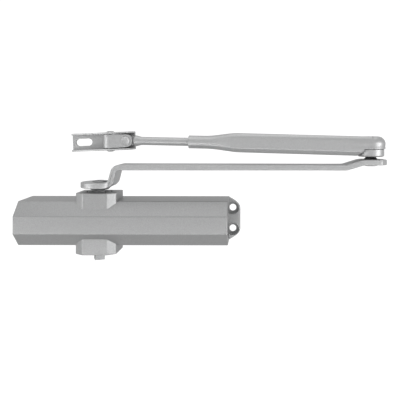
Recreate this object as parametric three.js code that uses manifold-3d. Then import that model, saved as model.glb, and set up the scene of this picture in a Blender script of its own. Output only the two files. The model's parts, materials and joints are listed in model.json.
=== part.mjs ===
// A surface-mounted door closer with a regular arm: a rack-and-pinion spring closer body,
// a main arm, a forearm of adjustable length and the shoe that is screwed to the door frame.
// Millimetres. +X runs along the body, +Y points into the door, +Z is up.
// The origin is on the flat back face of the body, level with its middle, under the pinion.
import * as THREE from "three";
import { mergeVertices } from "three/addons/utils/BufferGeometryUtils.js";
import Module from "manifold-3d";

const wasm = await Module();
wasm.setup();

// ---- Driving dimensions -------------------------------------------------------------------

const GAP = 0.3; // clearance between pieces that touch
const OVERLAP = 0.01; // of shapes that are joined end to end
const FINE = 40; // facets of a large round
const ROUND = 24; // facets of a small round

// body casting
const bodyLeft = 82; // pinion axis to the left end of the front face
const bodyRight = 137.4; // pinion axis to the right end of the front face
const bodyDepth = 52; // back face to front face
const frontHalf = 9.15; // half height of the front face
const shoulderHalf = 23.2; // half height behind the front chamfers
const chamferDepth = 13.8; // depth of the front chamfers
const sideDraft = 0.6; // growth of the half height towards the back
const endDraft = 1.2; // growth of each end towards the back
const boreRadius = 18; // piston bore
const axisY = -27; // bore axis and pinion axis, from the back face

// mounting lugs
const lugThick = 8.5;
const lugReach = 12; // beyond the end of the body
const lugRoot = 20; // overlap with the body
const lugInset = 0.4; // lug's root inside the body's sides
const sinkFloor = 2; // plain hole behind the countersink
const lugCorner = 5.5; // size of the corner chamfer
const lugTipHalf = 13.9; // half height of the lug's end edge
const screwOffset = 3.6; // screw hole centre from the end of the body
const screwSpacing = 23.1; // between the two holes of a lug
const screwRadius = 3.85;
const sinkRadius = 6.85; // countersink at the lug's front face

// pinion bosses
const bossTop = 32; // height of each boss face above and below the middle
const bossHalf = 21.3; // half width
const bossFaceHalf = 12.55; // half width of the front face
const bossFront = 45.9; // back face to the boss's front face
const bossChamfer = 6; // depth of the boss's front chamfers
const bossBack = 10.8; // back face to the rear of the boss
const neckRadius = 12.4; // bore that takes bearing, seal and nut
const recessRadius = 13.8;
const recessDepth = 1.4;

// pinion
const teeth = 12;
const pitchRadius = 9;
const toothAbove = 1.2;
const toothBelow = 1.4;
const rackAbove = 1;
const rackBelow = 1.5;
const backlash = 0.3; // taken off the thickness of each tooth
const pressure = THREE.MathUtils.degToRad(20);
const gearHalf = 10; // half of the pinion's face width
const journalRadius = 6.9;
const squareSide = 10.5;
const squareTurn = THREE.MathUtils.degToRad(20);
const pinionBottom = 40; // below the middle
const bearingClearance = 0.6; // from the piston bore to the bearing
const bearingLength = 4.4;
const sealLength = 3;
const nutProud = 0.6; // nut above the boss face

// piston
const stroke = 27; // room in the window for the piston's travel
const leftHead = 14; // length of the piston's left head
const rightHead = 16; // length of the piston's right head
const railClearance = 1; // between the teeth and the front wall of the window
const sealWidth = 3;
const sealDepth = 2;
const checkRadius = 3.3; // pocket of the check valve
const checkDepth = 9.5;
const portRadius = 1.6; // oil port behind the check valve
const seatHole = 1.4;
const seatLength = 2; // of the check valve seat
const ballRadius = 2.8;

// main spring
const wireRadius = 2.4;
const coilClearance = 2.2; // between the coils and the bore
const coilTurns = 8;
const springLength = 76;
const seatThick = 5;

// end plugs and adjusting screws
const plugLength = 13;
const plugRecess = 3; // plug face below the end of the body
const adjusterRadius = 4;
const adjusterHead = 6.6;
const adjusterHeadLength = 5;
const adjusterTravel = 10;
const hexKey = 2.6; // corner radius of the adjuster's key socket
const hexKeyDepth = 3.4;
const plugKey = 5.2; // corner radius of the left plug's key socket
const plugKeyDepth = 5;
const valveRadius = 2.2;
const valveLength = 14;
const valveRecess = 0.6; // screw head below the end of the body
const valvePoint = 3; // length of the needle point
const valvePointRadius = 0.7;
const valveSlot = 0.8; // width of the driver slot
const valveSlotDepth = 1.2;
const valveY = -13.6;
const valveZ = 19;

// main arm
const armThick = 5.8;
const headRadius = 19.5;
const headLevel = 36.6; // underside of the arm's head
const barLevel = 55.6; // underside of the long bar
const joggleRise = 5.5; // from the bar up to the elbow end
const riserFoot = 14.2; // where the riser's centre line meets the head's
const riserTop = 19;
const joggleLength = 18;
const joggleFromElbow = 10.5; // elbow axis to the top of the joggle
const riserWidth = 30;
const barWidth = 24;
const armLength = 290; // pinion axis to elbow axis
const elbowEnd = 15.3; // elbow axis to the end of the arm
const bendRadius = 6.6; // of the centre line
const joggleRadius = 16;
const hubRadius = 9.4;
const hubDrop = 2.2; // hub below the arm's head
const hubFlare = 3; // the hub grows by this towards the arm
const squareFloor = 1; // the square ends this far below the top of the arm's head

// screw that holds the arm on the pinion
const screwHeadRadius = 7.6;
const screwHeadTop = 5.6; // radius of the head's flat top
const screwHeadHeight = 1.3;
const screwShank = 2.3;
const screwLength = 8;
const screwKey = 2.3; // corner radius of the key socket
const screwKeyDepth = 0.9;
const tappedRadius = 2.6;
const tappedDepth = 9;

// elbow
const studRadius = 4;
const studHeadRadius = 7.2;
const studRoom = 1.5; // clearance round the stud's end
const studRise = 3.4; // stud above the bush, inside the cap
const studHead = 1.2; // height of the riveted head
const spacerBottomRadius = 6.9;
const spacerTopRadius = 4.9;
const spacerHeight = 2.4;
const bushRadius = 14;
const bushHeight = 7.8;

// forearm
const capRadius = 15.3;
const capHeight = 13.4; // above the bush
const capRounding = 8;
const forearmLength = 196; // elbow axis to the end of the tube
const flareStart = 141; // elbow axis to the end of the full section
const flareEnd = 178; // elbow axis to the start of the plain tube
const sectionBottom = 70.6; // underside near the elbow
const sectionCrease = 75.2;
const sectionTop = 91.2;
const sectionRise = 0.0245; // rise of the section for each mm away from the elbow
const sectionHalf = 14.6; // half width near the elbow
const sectionNarrow = 0.02; // loss of half width for each mm away from the elbow
const tubeRadius = 7.05;
const rodRadius = 4.5;
const rodInside = 60; // length of rod held in the tube
const rodRoom = 20; // bore beyond the rod, for pushing it in
const notchInset = 3.4; // notch for the bush: its top corner, inside the bush's edge
const notchSlope = 4; // its foot, beyond the bush's edge
const sectionCorner = 5; // rounding of the forearm's top edges
const sectionFoot = 0.72; // width of the underside as a share of the whole

// shoe, knuckle and rod eye
const knuckleX = 26.3; // knuckle pin, from the pinion axis
const knuckleY = -12.4;
const knuckleZ = 86.1;
const rodSlope = THREE.MathUtils.degToRad(1);
const shoeTilt = THREE.MathUtils.degToRad(2.4);
const pinRise = 18.8; // knuckle pin to the shoe's pin
const eyeEnd = 15.6; // knuckle pin to the root of the eye
const eyeHalf = 2.6; // half width of the eye between the knuckle's cheeks
const eyeRadius = 6; // shoulder of the eye beside the knuckle
const noseRadius = 5; // round end of the eye
const tongueHalf = 4.4; // half height of the flat behind it
const knuckleHalf = 7.8; // half height of the knuckle
const knuckleDepth = 15; // along Y
const barrelRadius = 8.2; // knuckle's round end on the shoe pin
const knuckleSlotEnd = -9.8; // bottom of the slot for the eye
const knucklePinRadius = 2.6;
const knucklePinHead = 4;
const pinHeadHeight = 1.2;
const shoePinRadius = 3;
const shoePinHead = 4.4;
const shoeRight = 25.5; // shoe's right end, from the shoe pin
const shoeLength = 70;
const shoeHalf = 10; // half of the outside width
const shoePlate = 1.9;
const shoeBase = 3;
const flangeHigh = 21; // at the pin
const flangeLow = 7; // at the left end
const flangeCorner = { x: 4, y: 6 }; // cut corner at the right end
const flangeFall = [-8, 16, 2]; // fall of the flange: from the pin, to the left end, its last rise
const slotFromPin = 31.7;
const slotLength = 18;
const slotWidth = 8;

// ---- Sizes worked out from them -------------------------------------------------------------

const joggleEnd = armLength - joggleFromElbow;
const joggleStart = joggleEnd - joggleLength;
const armCentre = headLevel + armThick / 2;
const barCentre = barLevel + armThick / 2;
const elbowCentre = barCentre + joggleRise;
const elbowTop = elbowCentre + armThick / 2;
const bushBottom = elbowTop + spacerHeight + 2 * GAP;
const bushTop = bushBottom + bushHeight;
const studTop = bushTop + studRise;
const reach = armLength - knuckleX;
const yaw = -Math.atan2(knuckleY - axisY, reach);
const forearmReach = Math.hypot(reach, knuckleY - axisY);
const windowLeft = -(pitchRadius + toothAbove + railClearance + stroke);
const windowRight = pitchRadius + toothAbove + 2 * railClearance;
const pistonLeft = windowLeft - leftHead;
const pistonRight = windowRight + rightHead;
const pistonRadius = boreRadius - GAP;
const bearingStart = boreRadius + bearingClearance;
const railOffset = pitchRadius + toothAbove + railClearance;
const coilRadius = boreRadius - coilClearance - wireRadius;
const seatX = pistonRight + springLength + 2 * GAP;
const plugRadius = boreRadius - GAP;
const rackLine = axisY + pitchRadius;
const checkSeat = pistonLeft + seatLength;
const shoePinX = knuckleX - pinRise * Math.cos(yaw);
const shoePinY = knuckleY - pinRise * Math.sin(yaw);
const shoePinZ = knuckleZ - pinRise * Math.tan(shoeTilt);

// ---- Solids -----------------------------------------------------------------------------------

// A closed three.js geometry as a solid that can be joined and cut.
function solid(geometry) {
  const bare = geometry.clone();
  bare.deleteAttribute("normal");
  bare.deleteAttribute("uv");
  const merged = mergeVertices(bare, 1e-4);
  const triVerts = new Uint32Array(merged.index.array);
  const vertProperties = merged.attributes.position.array;
  return new wasm.Manifold(new wasm.Mesh({ numProp: 3, vertProperties, triVerts }));
}

function geometryOf(made) {
  const mesh = made.getMesh();
  const geometry = new THREE.BufferGeometry();
  const places = new Float32Array(mesh.vertProperties);
  geometry.setAttribute("position", new THREE.BufferAttribute(places, 3));
  geometry.setIndex(new THREE.BufferAttribute(new Uint32Array(mesh.triVerts), 1));
  geometry.computeVertexNormals();
  return geometry;
}

const joined = (...solids) => solids.reduce((all, one) => all.add(one));
const cut = (from, ...tools) => tools.reduce((left, one) => left.subtract(one), from);

// A round bar along "x", "y" or "z", from one end to the other, centred on the two
// remaining coordinates in alphabetical order.
function round(axis, radius, from, to, centre = [0, 0], facets = ROUND, endRadius = radius) {
  const g = new THREE.CylinderGeometry(endRadius, radius, to - from, facets);
  g.translate(0, (from + to) / 2, 0);
  if (axis === "x") g.rotateZ(-Math.PI / 2).translate(0, centre[0], centre[1]);
  if (axis === "y") g.translate(centre[0], 0, centre[1]);
  if (axis === "z") g.rotateX(Math.PI / 2).translate(centre[0], centre[1], 0);
  return solid(g);
}

function block([x0, x1], [y0, y1], [z0, z1]) {
  const g = new THREE.BoxGeometry(x1 - x0, y1 - y0, z1 - z0);
  return solid(g.translate((x0 + x1) / 2, (y0 + y1) / 2, (z0 + z1) / 2));
}

// A flat outline pushed through a thickness. Its two axes and the push are named by plane:
// "xy" pushes along Z, "xz" along Y and "yz" along X.
function pushedGeometry(outline, plane, from, to, steps = 1) {
  const shape = Array.isArray(outline) ? new THREE.Shape(outline) : outline;
  const depth = to - from;
  const g = new THREE.ExtrudeGeometry(shape, { depth, steps, bevelEnabled: false, curveSegments: 12 });
  const [x, y, z] = [[1, 0, 0], [0, 1, 0], [0, 0, 1]].map((v) => new THREE.Vector3(...v));
  const turn = new THREE.Matrix4();
  if (plane === "xy") g.translate(0, 0, from);
  if (plane === "xz") g.translate(0, 0, -to).applyMatrix4(turn.makeBasis(x, z, y.negate()));
  if (plane === "yz") g.translate(0, 0, from).applyMatrix4(turn.makeBasis(y, z, x));
  return g;
}

const pushed = (...values) => solid(pushedGeometry(...values));
const at = (x, y) => new THREE.Vector2(x, y);

// A ring or bush about an axis.
function ring(axis, outer, inner, from, to, centre, facets = FINE) {
  const whole = round(axis, outer, from, to, centre, facets);
  return cut(whole, round(axis, inner, from - 1, to + 1, centre, facets));
}

// A profile of (radius, height) points turned about Z.
function turned(profile, centre = [0, 0], facets = FINE) {
  const g = new THREE.LatheGeometry(profile.map((p) => at(...p)), facets);
  return solid(g.rotateX(Math.PI / 2).translate(centre[0], centre[1], 0));
}

function sixSided(radius) {
  return Array.from({ length: 6 }, (_, k) => at(
    radius * Math.cos(k * Math.PI / 3),
    radius * Math.sin(k * Math.PI / 3),
  ));
}

const both = [-1, 1];

// ---- Body ---------------------------------------------------------------------------------------

// The bare block: flat back, flat front and two long chamfers, with draft on sides and ends.
function bodyBlock() {
  const backHalf = shoulderHalf + sideDraft;
  const side = [
    at(0, -backHalf), at(-bodyDepth + chamferDepth, -shoulderHalf), at(-bodyDepth, -frontHalf),
    at(-bodyDepth, frontHalf), at(-bodyDepth + chamferDepth, shoulderHalf), at(0, backHalf),
  ];
  const g = pushedGeometry(side.reverse(), "yz", -bodyLeft, bodyRight);
  const place = g.attributes.position;
  for (let i = 0; i < place.count; i++) {
    const grown = endDraft * (1 + place.getY(i) / bodyDepth);
    place.setX(i, place.getX(i) + Math.sign(place.getX(i)) * grown);
  }
  return solid(g);
}

// A flat lug at one end, with sloped sides and cut corners; side is -1 or 1.
function lug(side) {
  const end = (side < 0 ? bodyLeft : bodyRight) + endDraft;
  const tip = end + lugReach;
  const root = shoulderHalf + sideDraft - lugInset;
  const outline = [
    at(end - lugRoot, -root), at(end - 2 * GAP, -root), at(tip - lugCorner, -lugTipHalf - lugCorner),
    at(tip, -lugTipHalf), at(tip, lugTipHalf), at(tip - lugCorner, lugTipHalf + lugCorner),
    at(end - 2 * GAP, root), at(end - lugRoot, root),
  ].map((p) => at(side * p.x, p.y));
  return pushed(side > 0 ? outline : outline.reverse(), "xz", -lugThick, 0);
}

// One lug's two screw holes, each with a countersink that stops at the end of the body.
function lugHoles(side) {
  const end = (side < 0 ? bodyLeft : bodyRight) + endDraft;
  const x = side * (end + screwOffset);
  const keep = [side * (end - GAP), side * (end + 2 * lugReach)].sort((a, b) => a - b);
  const beyond = block(keep, [-lugThick - 1, 1], [-shoulderHalf, shoulderHalf]);
  return both.map((up) => {
    const z = up * screwSpacing / 2;
    const hole = round("y", screwRadius, -lugThick - 1, 1, [x, z]);
    const wide = sinkRadius + (sinkRadius - screwRadius) / (lugThick - sinkFloor);
    const sink = round("y", wide, -lugThick - 1, -sinkFloor, [x, z], ROUND, screwRadius);
    return joined(hole, sink).intersect(beyond);
  });
}

// The boss round the pinion, above and below the body in one piece.
function bosses() {
  const outline = [
    at(-bossHalf, -bossBack), at(-bossHalf, -bossFront + bossChamfer), at(-bossFaceHalf, -bossFront),
    at(bossFaceHalf, -bossFront), at(bossHalf, -bossFront + bossChamfer), at(bossHalf, -bossBack),
  ];
  return pushed(outline, "xy", -bossTop, bossTop);
}

function bodyCasting() {
  const whole = joined(bodyBlock(), bosses(), ...both.map(lug));
  const ends = [-bodyLeft - endDraft - 1, bodyRight + endDraft + 1];
  const bore = round("x", boreRadius, ...ends, [axisY, 0], FINE);
  const neck = round("z", neckRadius, -bossTop - 1, bossTop + 1, [0, axisY], FINE);
  const recesses = both.map((up) => {
    const floor = up * (bossTop - recessDepth);
    const span = [floor, up * (bossTop + 1)].sort((a, b) => a - b);
    return round("z", recessRadius, ...span, [0, axisY], FINE);
  });
  const valveHoles = both.map((up) => {
    const span = [ends[0], -bodyLeft + valveLength];
    return round("x", valveRadius + GAP, ...span, [valveY, up * valveZ]);
  });
  const holes = both.flatMap(lugHoles);
  return cut(whole, bore, neck, ...recesses, ...valveHoles, ...holes);
}

// ---- Pinion, bearings and seals -------------------------------------------------------------------

// Outline of the pinion's teeth: involute flanks on a base circle.
function gearOutline() {
  const base = pitchRadius * Math.cos(pressure);
  const outer = pitchRadius + toothAbove;
  const root = pitchRadius - toothBelow;
  const roll = (r) => Math.sqrt((r / base) ** 2 - 1) - Math.acos(base / r);
  const half = Math.PI / (2 * teeth) - backlash / (2 * pitchRadius) + roll(pitchRadius);
  const radii = [0, 0.35, 0.7, 1].map((t) => base + t * (outer - base));
  const points = [];
  for (let k = 0; k < teeth; k++) {
    const middle = Math.PI / 2 + (k + 0.5) * 2 * Math.PI / teeth;
    const put = (r, turn) => points.push(at(r * Math.cos(middle + turn), r * Math.sin(middle + turn)));
    put(root, -half);
    radii.forEach((r) => put(r, roll(r) - half));
    radii.toReversed().forEach((r) => put(r, half - roll(r)));
    put(root, half);
  }
  return points;
}

function squareBar(side, from, to) {
  const half = side / 2;
  const corners = [at(-half, -half), at(half, -half), at(half, half), at(-half, half)];
  const turnedCorners = corners.map((p) => p.rotateAround(at(0, 0), squareTurn));
  return pushed(turnedCorners, "xy", from, to).translate([0, axisY, 0]);
}

function pinionShaft() {
  const gear = pushed(gearOutline(), "xy", -gearHalf, gearHalf).translate([0, axisY, 0]);
  const shoulder = bossTop + 1;
  const shaft = round("z", journalRadius, -shoulder, shoulder, [0, axisY]);
  const top = headLevel + armThick - squareFloor;
  const lowerSquare = squareBar(squareSide, -pinionBottom, 0.1 - shoulder);
  const upperSquare = squareBar(squareSide, shoulder - 0.1, top);
  const tapped = round("z", tappedRadius, top - tappedDepth, top + 1, [0, axisY]);
  return cut(joined(gear, shaft, lowerSquare, upperSquare), tapped);
}

// Bearing, seal and nut are stacked from the inside out on each side of the pinion.
function bearingStack(up) {
  const sealStart = bearingStart + bearingLength + GAP;
  const nutStart = sealStart + sealLength + GAP;
  const layers = [
    ["bearing", bearingStart, bearingStart + bearingLength],
    ["shaft_seal", sealStart, sealStart + sealLength],
    ["retaining_nut", nutStart, bossTop + nutProud],
  ];
  return layers.map(([name, ...ends]) => {
    const span = ends.map((level) => up * level).sort((a, b) => a - b);
    return [name, ring("z", neckRadius - GAP, journalRadius + GAP, ...span, [0, axisY])];
  });
}

// ---- Piston ---------------------------------------------------------------------------------------

function rackTooth(x) {
  const pitch = 2 * Math.PI * pitchRadius / teeth;
  const middle = pitch / 2 - backlash;
  const slope = Math.tan(pressure);
  const tip = middle / 2 - rackAbove * slope;
  const foot = middle / 2 + (rackBelow + 0.5) * slope;
  const tooth = [
    at(x - foot, rackLine + rackBelow + 0.5), at(x - tip, rackLine - rackAbove),
    at(x + tip, rackLine - rackAbove), at(x + foot, rackLine + rackBelow + 0.5),
  ];
  return pushed(tooth, "xy", -gearHalf, gearHalf);
}

function piston() {
  const centre = [axisY, 0];
  const bar = round("x", pistonRadius, pistonLeft, pistonRight, centre, FINE);
  const window = block(
    [windowLeft, windowRight],
    [axisY - railOffset, rackLine + rackBelow],
    [-boreRadius, boreRadius],
  );
  const pitch = 2 * Math.PI * pitchRadius / teeth;
  const first = -Math.floor((stroke + pitchRadius / 2) / pitch);
  const rack = [];
  for (let k = first; k <= 1; k++) rack.push(rackTooth(k * pitch));
  const groove = sealGroove(pistonRight - rightHead / 2);
  const pocketEnd = pistonLeft + checkDepth;
  const pocket = round("x", checkRadius, pistonLeft - 1, pocketEnd, centre);
  const port = round("x", portRadius, pocketEnd - 1, windowLeft + 1, centre);
  return joined(cut(bar, window, groove, pocket, port), ...rack);
}

// A groove for a ring seal round a piston or plug of the bore's size, centred on x.
function sealGroove(x) {
  const half = sealWidth / 2 + GAP;
  return ring("x", boreRadius + 2, pistonRadius - sealDepth - GAP, x - half, x + half, [axisY, 0]);
}

function ringSeal(x) {
  const span = [x - sealWidth / 2, x + sealWidth / 2];
  return ring("x", pistonRadius, pistonRadius - sealDepth, ...span, [axisY, 0]);
}

function checkValveSeat() {
  return ring("x", checkRadius - GAP, seatHole, pistonLeft, checkSeat, [axisY, 0], ROUND);
}

function ball(radius, x) {
  const g = new THREE.SphereGeometry(radius, 14, 8);
  return solid(g.translate(x, axisY, 0));
}

// ---- Main spring and end plugs --------------------------------------------------------------------

class Helix extends THREE.Curve {
  getPoint(t) {
    const turn = t * coilTurns * 2 * Math.PI;
    const from = pistonRight + GAP + wireRadius;
    const x = from + t * (springLength - 2 * wireRadius);
    return new THREE.Vector3(x, axisY + coilRadius * Math.cos(turn), coilRadius * Math.sin(turn));
  }
}

function mainSpring() {
  const wire = sixSided(wireRadius);
  const steps = coilTurns * 14;
  const g = new THREE.ExtrudeGeometry(new THREE.Shape(wire), { steps, extrudePath: new Helix() });
  return solid(g);
}

function endPlug(side) {
  const end = side < 0 ? bodyLeft : bodyRight;
  const outside = end - plugRecess;
  const span = [side * (outside - plugLength), side * outside].sort((a, b) => a - b);
  const plug = round("x", plugRadius, ...span, [axisY, 0], FINE);
  return cut(plug, sealGroove(side * (outside - plugLength / 2)));
}

function leftEndPlug() {
  const face = -(bodyLeft - plugRecess);
  const socket = pushed(sixSided(plugKey), "yz", face - 1, face + plugKeyDepth);
  return cut(endPlug(-1), socket.translate([0, axisY, 0]));
}

function rightEndPlug() {
  const face = bodyRight - plugRecess;
  const shank = round("x", adjusterRadius + GAP, face - plugLength - 1, face + 1, [axisY, 0]);
  const head = round("x", adjusterHead + GAP, face - adjusterHeadLength, face + 1, [axisY, 0]);
  return cut(endPlug(1), shank, head);
}

function powerAdjuster() {
  const face = bodyRight - plugRecess;
  const neck = face - adjusterHeadLength + GAP;
  const start = seatX - adjusterTravel - 2;
  const shank = round("x", adjusterRadius, start, neck, [axisY, 0]);
  const head = round("x", adjusterHead, neck - OVERLAP, face, [axisY, 0]);
  const socket = pushed(sixSided(hexKey), "yz", face - hexKeyDepth, face + 1);
  return cut(joined(shank, head), socket.translate([0, axisY, 0]));
}

function springSeat() {
  const inner = adjusterRadius + GAP;
  return ring("x", pistonRadius - 0.4, inner, seatX, seatX + seatThick, [axisY, 0]);
}

function valveScrew(up) {
  const face = -bodyLeft + valveRecess;
  const point = -bodyLeft + valveLength - 1;
  const neck = point - valvePoint;
  const centre = [valveY, up * valveZ];
  const shank = round("x", valveRadius, face, neck, centre);
  const tip = round("x", valveRadius, neck - OVERLAP, point, centre, ROUND, valvePointRadius);
  const slotHalf = valveSlot / 2;
  const slot = block(
    [face - 1, face + valveSlotDepth],
    [valveY - valveRadius - 1, valveY + valveRadius + 1],
    [up * valveZ - slotHalf, up * valveZ + slotHalf],
  );
  return cut(joined(shank, tip), slot);
}

// ---- Main arm ---------------------------------------------------------------------------------------

// The edge view of a bent strip: the centre line's corners are rounded to their radii, and
// the outline runs half a thickness to each side of it.
function bentStrip(corners, radii, thickness) {
  const line = [];
  corners.forEach((corner, k) => {
    if (k === 0 || k === corners.length - 1) return;
    const before = corners[k - 1].clone().sub(corner).normalize();
    const after = corners[k + 1].clone().sub(corner).normalize();
    const opening = Math.acos(before.dot(after));
    const radius = radii[k - 1];
    const run = radius / Math.tan(opening / 2);
    const start = corner.clone().addScaledVector(before, run);
    const middle = before.clone().add(after).normalize();
    const centre = corner.clone().addScaledVector(middle, radius / Math.sin(opening / 2));
    const sweep = Math.PI - opening;
    const side = Math.sign(before.cross(after));
    for (let i = 0; i <= 8; i++) {
      const place = start.clone().rotateAround(centre, -side * sweep * i / 8);
      const out = place.clone().sub(centre).normalize();
      line.push([place, out.multiplyScalar(side)]);
    }
  });
  const first = corners[0];
  const last = corners.at(-1);
  line.unshift([first, at(0, 1)]);
  line.push([last, at(0, 1)]);
  const shift = (sign) => line.map(([p, n]) => p.clone().addScaledVector(n, sign * thickness / 2));
  return [...shift(-1), ...shift(1).reverse()];
}

function armSide() {
  const corners = [
    at(-headRadius - 1, armCentre), at(riserFoot, armCentre), at(riserTop, barCentre),
    at(joggleStart, barCentre), at(joggleEnd, elbowCentre), at(armLength + elbowEnd + 1, elbowCentre),
  ];
  return bentStrip(corners, [bendRadius, bendRadius, joggleRadius, joggleRadius], armThick);
}

// The arm seen from above: round head, a taper to the bar and a round elbow end.
function armPlan() {
  const shape = new THREE.Shape();
  const half = riserWidth / 2;
  const slim = barWidth / 2;
  const lean = Math.asin(half / headRadius);
  const endLean = Math.asin(slim / elbowEnd);
  const endX = armLength - elbowEnd * Math.cos(endLean);
  shape.moveTo(headRadius * Math.cos(lean), half);
  shape.absarc(0, 0, headRadius, lean, 2 * Math.PI - lean, false);
  shape.lineTo(endX, -slim);
  shape.absarc(armLength, 0, elbowEnd, Math.PI + endLean, Math.PI - endLean, false);
  shape.closePath();
  return shape;
}

function mainArm() {
  const side = pushed(armSide(), "xz", axisY - headRadius - 1, axisY + headRadius + 1);
  const plan = pushed(armPlan(), "xy", headLevel - 1, elbowTop + 1).translate([0, axisY, 0]);
  const strip = side.intersect(plan);
  const hubFoot = headLevel - hubDrop;
  const hubTop = hubRadius + hubFlare;
  const hub = round("z", hubRadius, hubFoot, headLevel + 1, [0, axisY], FINE, hubTop);
  const square = squareBar(squareSide + 2 * GAP, hubFoot - 1, headLevel + armThick + 1);
  const elbowBottom = elbowTop - armThick;
  const pivot = round("z", studRadius + GAP, elbowBottom - 1, elbowTop + 1, [armLength, axisY]);
  return cut(joined(strip, hub), square, pivot);
}

function armScrew() {
  const base = headLevel + armThick + GAP;
  const top = base + screwHeadHeight;
  const profile = [
    [0, base], [screwHeadRadius, base], [screwHeadRadius, base + screwHeadHeight / 3],
    [screwHeadTop, top], [0, top],
  ];
  const head = turned(profile, [0, axisY]);
  const shank = round("z", screwShank, base - screwLength, base + OVERLAP, [0, axisY]);
  const socket = pushed(sixSided(screwKey), "xy", top - screwKeyDepth, top + 1);
  return cut(joined(head, shank), socket.translate([0, axisY, 0]));
}

// ---- Elbow and forearm ------------------------------------------------------------------------------

function elbowStud() {
  const under = elbowTop - armThick - GAP;
  const centre = [armLength, axisY];
  const head = turned([
    [0, under - studHead], [studHeadRadius * 0.8, under - studHead],
    [studHeadRadius, under - studHead / 2], [studHeadRadius, under], [0, under],
  ], centre);
  const shank = round("z", studRadius, under - OVERLAP, studTop, centre);
  return joined(head, shank);
}

function elbowSpacer() {
  const from = elbowTop + GAP;
  const to = from + spacerHeight;
  const centre = [armLength, axisY];
  const cone = round("z", spacerBottomRadius, from, to, centre, FINE, spacerTopRadius);
  return cut(cone, round("z", studRadius + GAP, from - 1, to + 1, centre));
}

const elbowBush = () => ring("z", bushRadius, studRadius + GAP, bushBottom, bushTop, [0, 0]);

// Half of the forearm's height and width at a distance from the elbow, as four corner levels.
function sectionAt(distance) {
  const rise = sectionRise * distance;
  return {
    half: sectionHalf - sectionNarrow * distance,
    bottom: sectionBottom + rise,
    crease: sectionCrease + rise,
    top: sectionTop + rise,
  };
}

// The section is a ring of directions: each meets a housing shape with rounded top corners
// near the elbow, and runs out into the round tube past the flare.
function sectionRadius(turn, distance) {
  const { half, bottom, crease, top } = sectionAt(distance);
  const middle = tubeLevel(distance);
  const [c, s] = [Math.cos(turn), Math.sin(turn)];
  const corner = sectionCorner;
  const lowHalf = half * sectionFoot;
  const outline = [
    [lowHalf, bottom], [half, crease], [half, top - corner], [half - corner * 0.3, top - corner * 0.3],
    [half - corner, top],
  ].map(([y, z]) => at(y, z - middle));
  const ringPoints = [...outline, ...outline.map((p) => at(-p.x, p.y)).reverse()];
  let nearest = Infinity;
  ringPoints.forEach((p, k) => {
    const q = ringPoints[(k + 1) % ringPoints.length];
    const edge = q.clone().sub(p);
    const across = c * edge.y - s * edge.x;
    if (Math.abs(across) < 1e-9) return;
    const along = (p.x * edge.y - p.y * edge.x) / across;
    const share = (p.x * s - p.y * c) / across;
    if (along > 0 && share >= -1e-9 && share <= 1 + 1e-9) nearest = Math.min(nearest, along);
  });
  const t = THREE.MathUtils.smoothstep(distance, flareStart, flareEnd);
  return nearest + t * (tubeRadius - nearest);
}

const tubeLevel = (distance) => knuckleZ - Math.tan(rodSlope) * (forearmReach - distance);

// The forearm's shell in its own frame: the elbow axis is Z and the shoe lies towards -X.
function forearmShell() {
  const facets = 32;
  const flareSteps = 8;
  const stations = [0, flareStart];
  for (let i = 1; i <= flareSteps; i++) {
    stations.push(flareStart + (i / flareSteps) * (flareEnd - flareStart));
  }
  stations.push(forearmLength);
  const steps = stations.length - 1;
  const circle = Array.from({ length: facets }, (_, k) => {
    const turn = (k / facets) * 2 * Math.PI;
    return at(Math.cos(turn), Math.sin(turn));
  });
  const g = pushedGeometry(circle, "yz", -forearmLength, 0, steps);
  const place = g.attributes.position;
  for (let i = 0; i < place.count; i++) {
    const distance = stations[Math.round((-place.getX(i) / forearmLength) * steps)];
    const turn = Math.atan2(place.getZ(i), place.getY(i));
    const r = sectionRadius(turn, distance);
    place.setXYZ(i, -distance, r * Math.cos(turn), tubeLevel(distance) + r * Math.sin(turn));
  }
  return solid(g);
}

function forearmCap() {
  const floor = bushTop + GAP;
  const top = floor + capHeight;
  const profile = [[0, floor], [capRadius, floor], [capRadius, top - capRounding]];
  for (let i = 1; i <= 8; i++) {
    const turn = (i / 8) * Math.PI / 2;
    profile.push([
      capRadius - capRounding + capRounding * Math.cos(turn),
      top - capRounding + capRounding * Math.sin(turn),
    ]);
  }
  profile.push([0, top]);
  return turned(profile);
}

function forearmSocket() {
  const floor = bushTop + GAP;
  const under = sectionBottom - 3;
  const wide = 2 * capRadius; // beyond the housing on every side
  const notch = [
    at(-bushRadius - notchSlope, under), at(-bushRadius + notchInset, floor),
    at(wide, floor), at(wide, under),
  ];
  const boreEnd = -forearmLength + rodInside + rodRoom;
  const cuts = [
    pushed(notch, "xz", -wide, wide),
    round("z", bushRadius + GAP, under, floor, [0, 0], FINE),
    round("z", studRadius + studRoom, floor - 1, studTop + studRoom),
    pitched(round("x", rodRadius + GAP, -forearmLength - 1, boreEnd)),
  ];
  return cut(joined(forearmShell(), forearmCap()), ...cuts);
}

// Lays a piece made on the X axis along the sloped line of the rod.
function pitched(piece) {
  const turn = THREE.MathUtils.radToDeg(rodSlope);
  const moved = piece.translate([forearmReach, 0, 0]).rotate([0, turn, 0]);
  return moved.translate([-forearmReach, 0, knuckleZ]);
}

function adjustingRod() {
  const shank = round("x", rodRadius, -forearmReach + eyeEnd, -forearmLength + rodInside);
  const root = -forearmReach + eyeEnd;
  const shoulder = -forearmReach + knuckleHalf + 2 * GAP;
  const collar = round("x", eyeRadius, shoulder, root, [0, 0], ROUND, rodRadius);
  const tongue = block(
    [-forearmReach, root - rodRadius],
    [-eyeHalf, eyeHalf],
    [-tongueHalf, tongueHalf],
  );
  const nose = round("y", noseRadius, -eyeHalf, eyeHalf, [-forearmReach, 0]);
  const pinHole = round("y", knucklePinRadius + GAP, -eyeHalf - 1, eyeHalf + 1, [-forearmReach, 0]);
  return pitched(cut(joined(shank, collar, tongue, nose), pinHole));
}

// ---- Knuckle, in a frame with its origin on the knuckle pin -------------------------------------------

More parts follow.
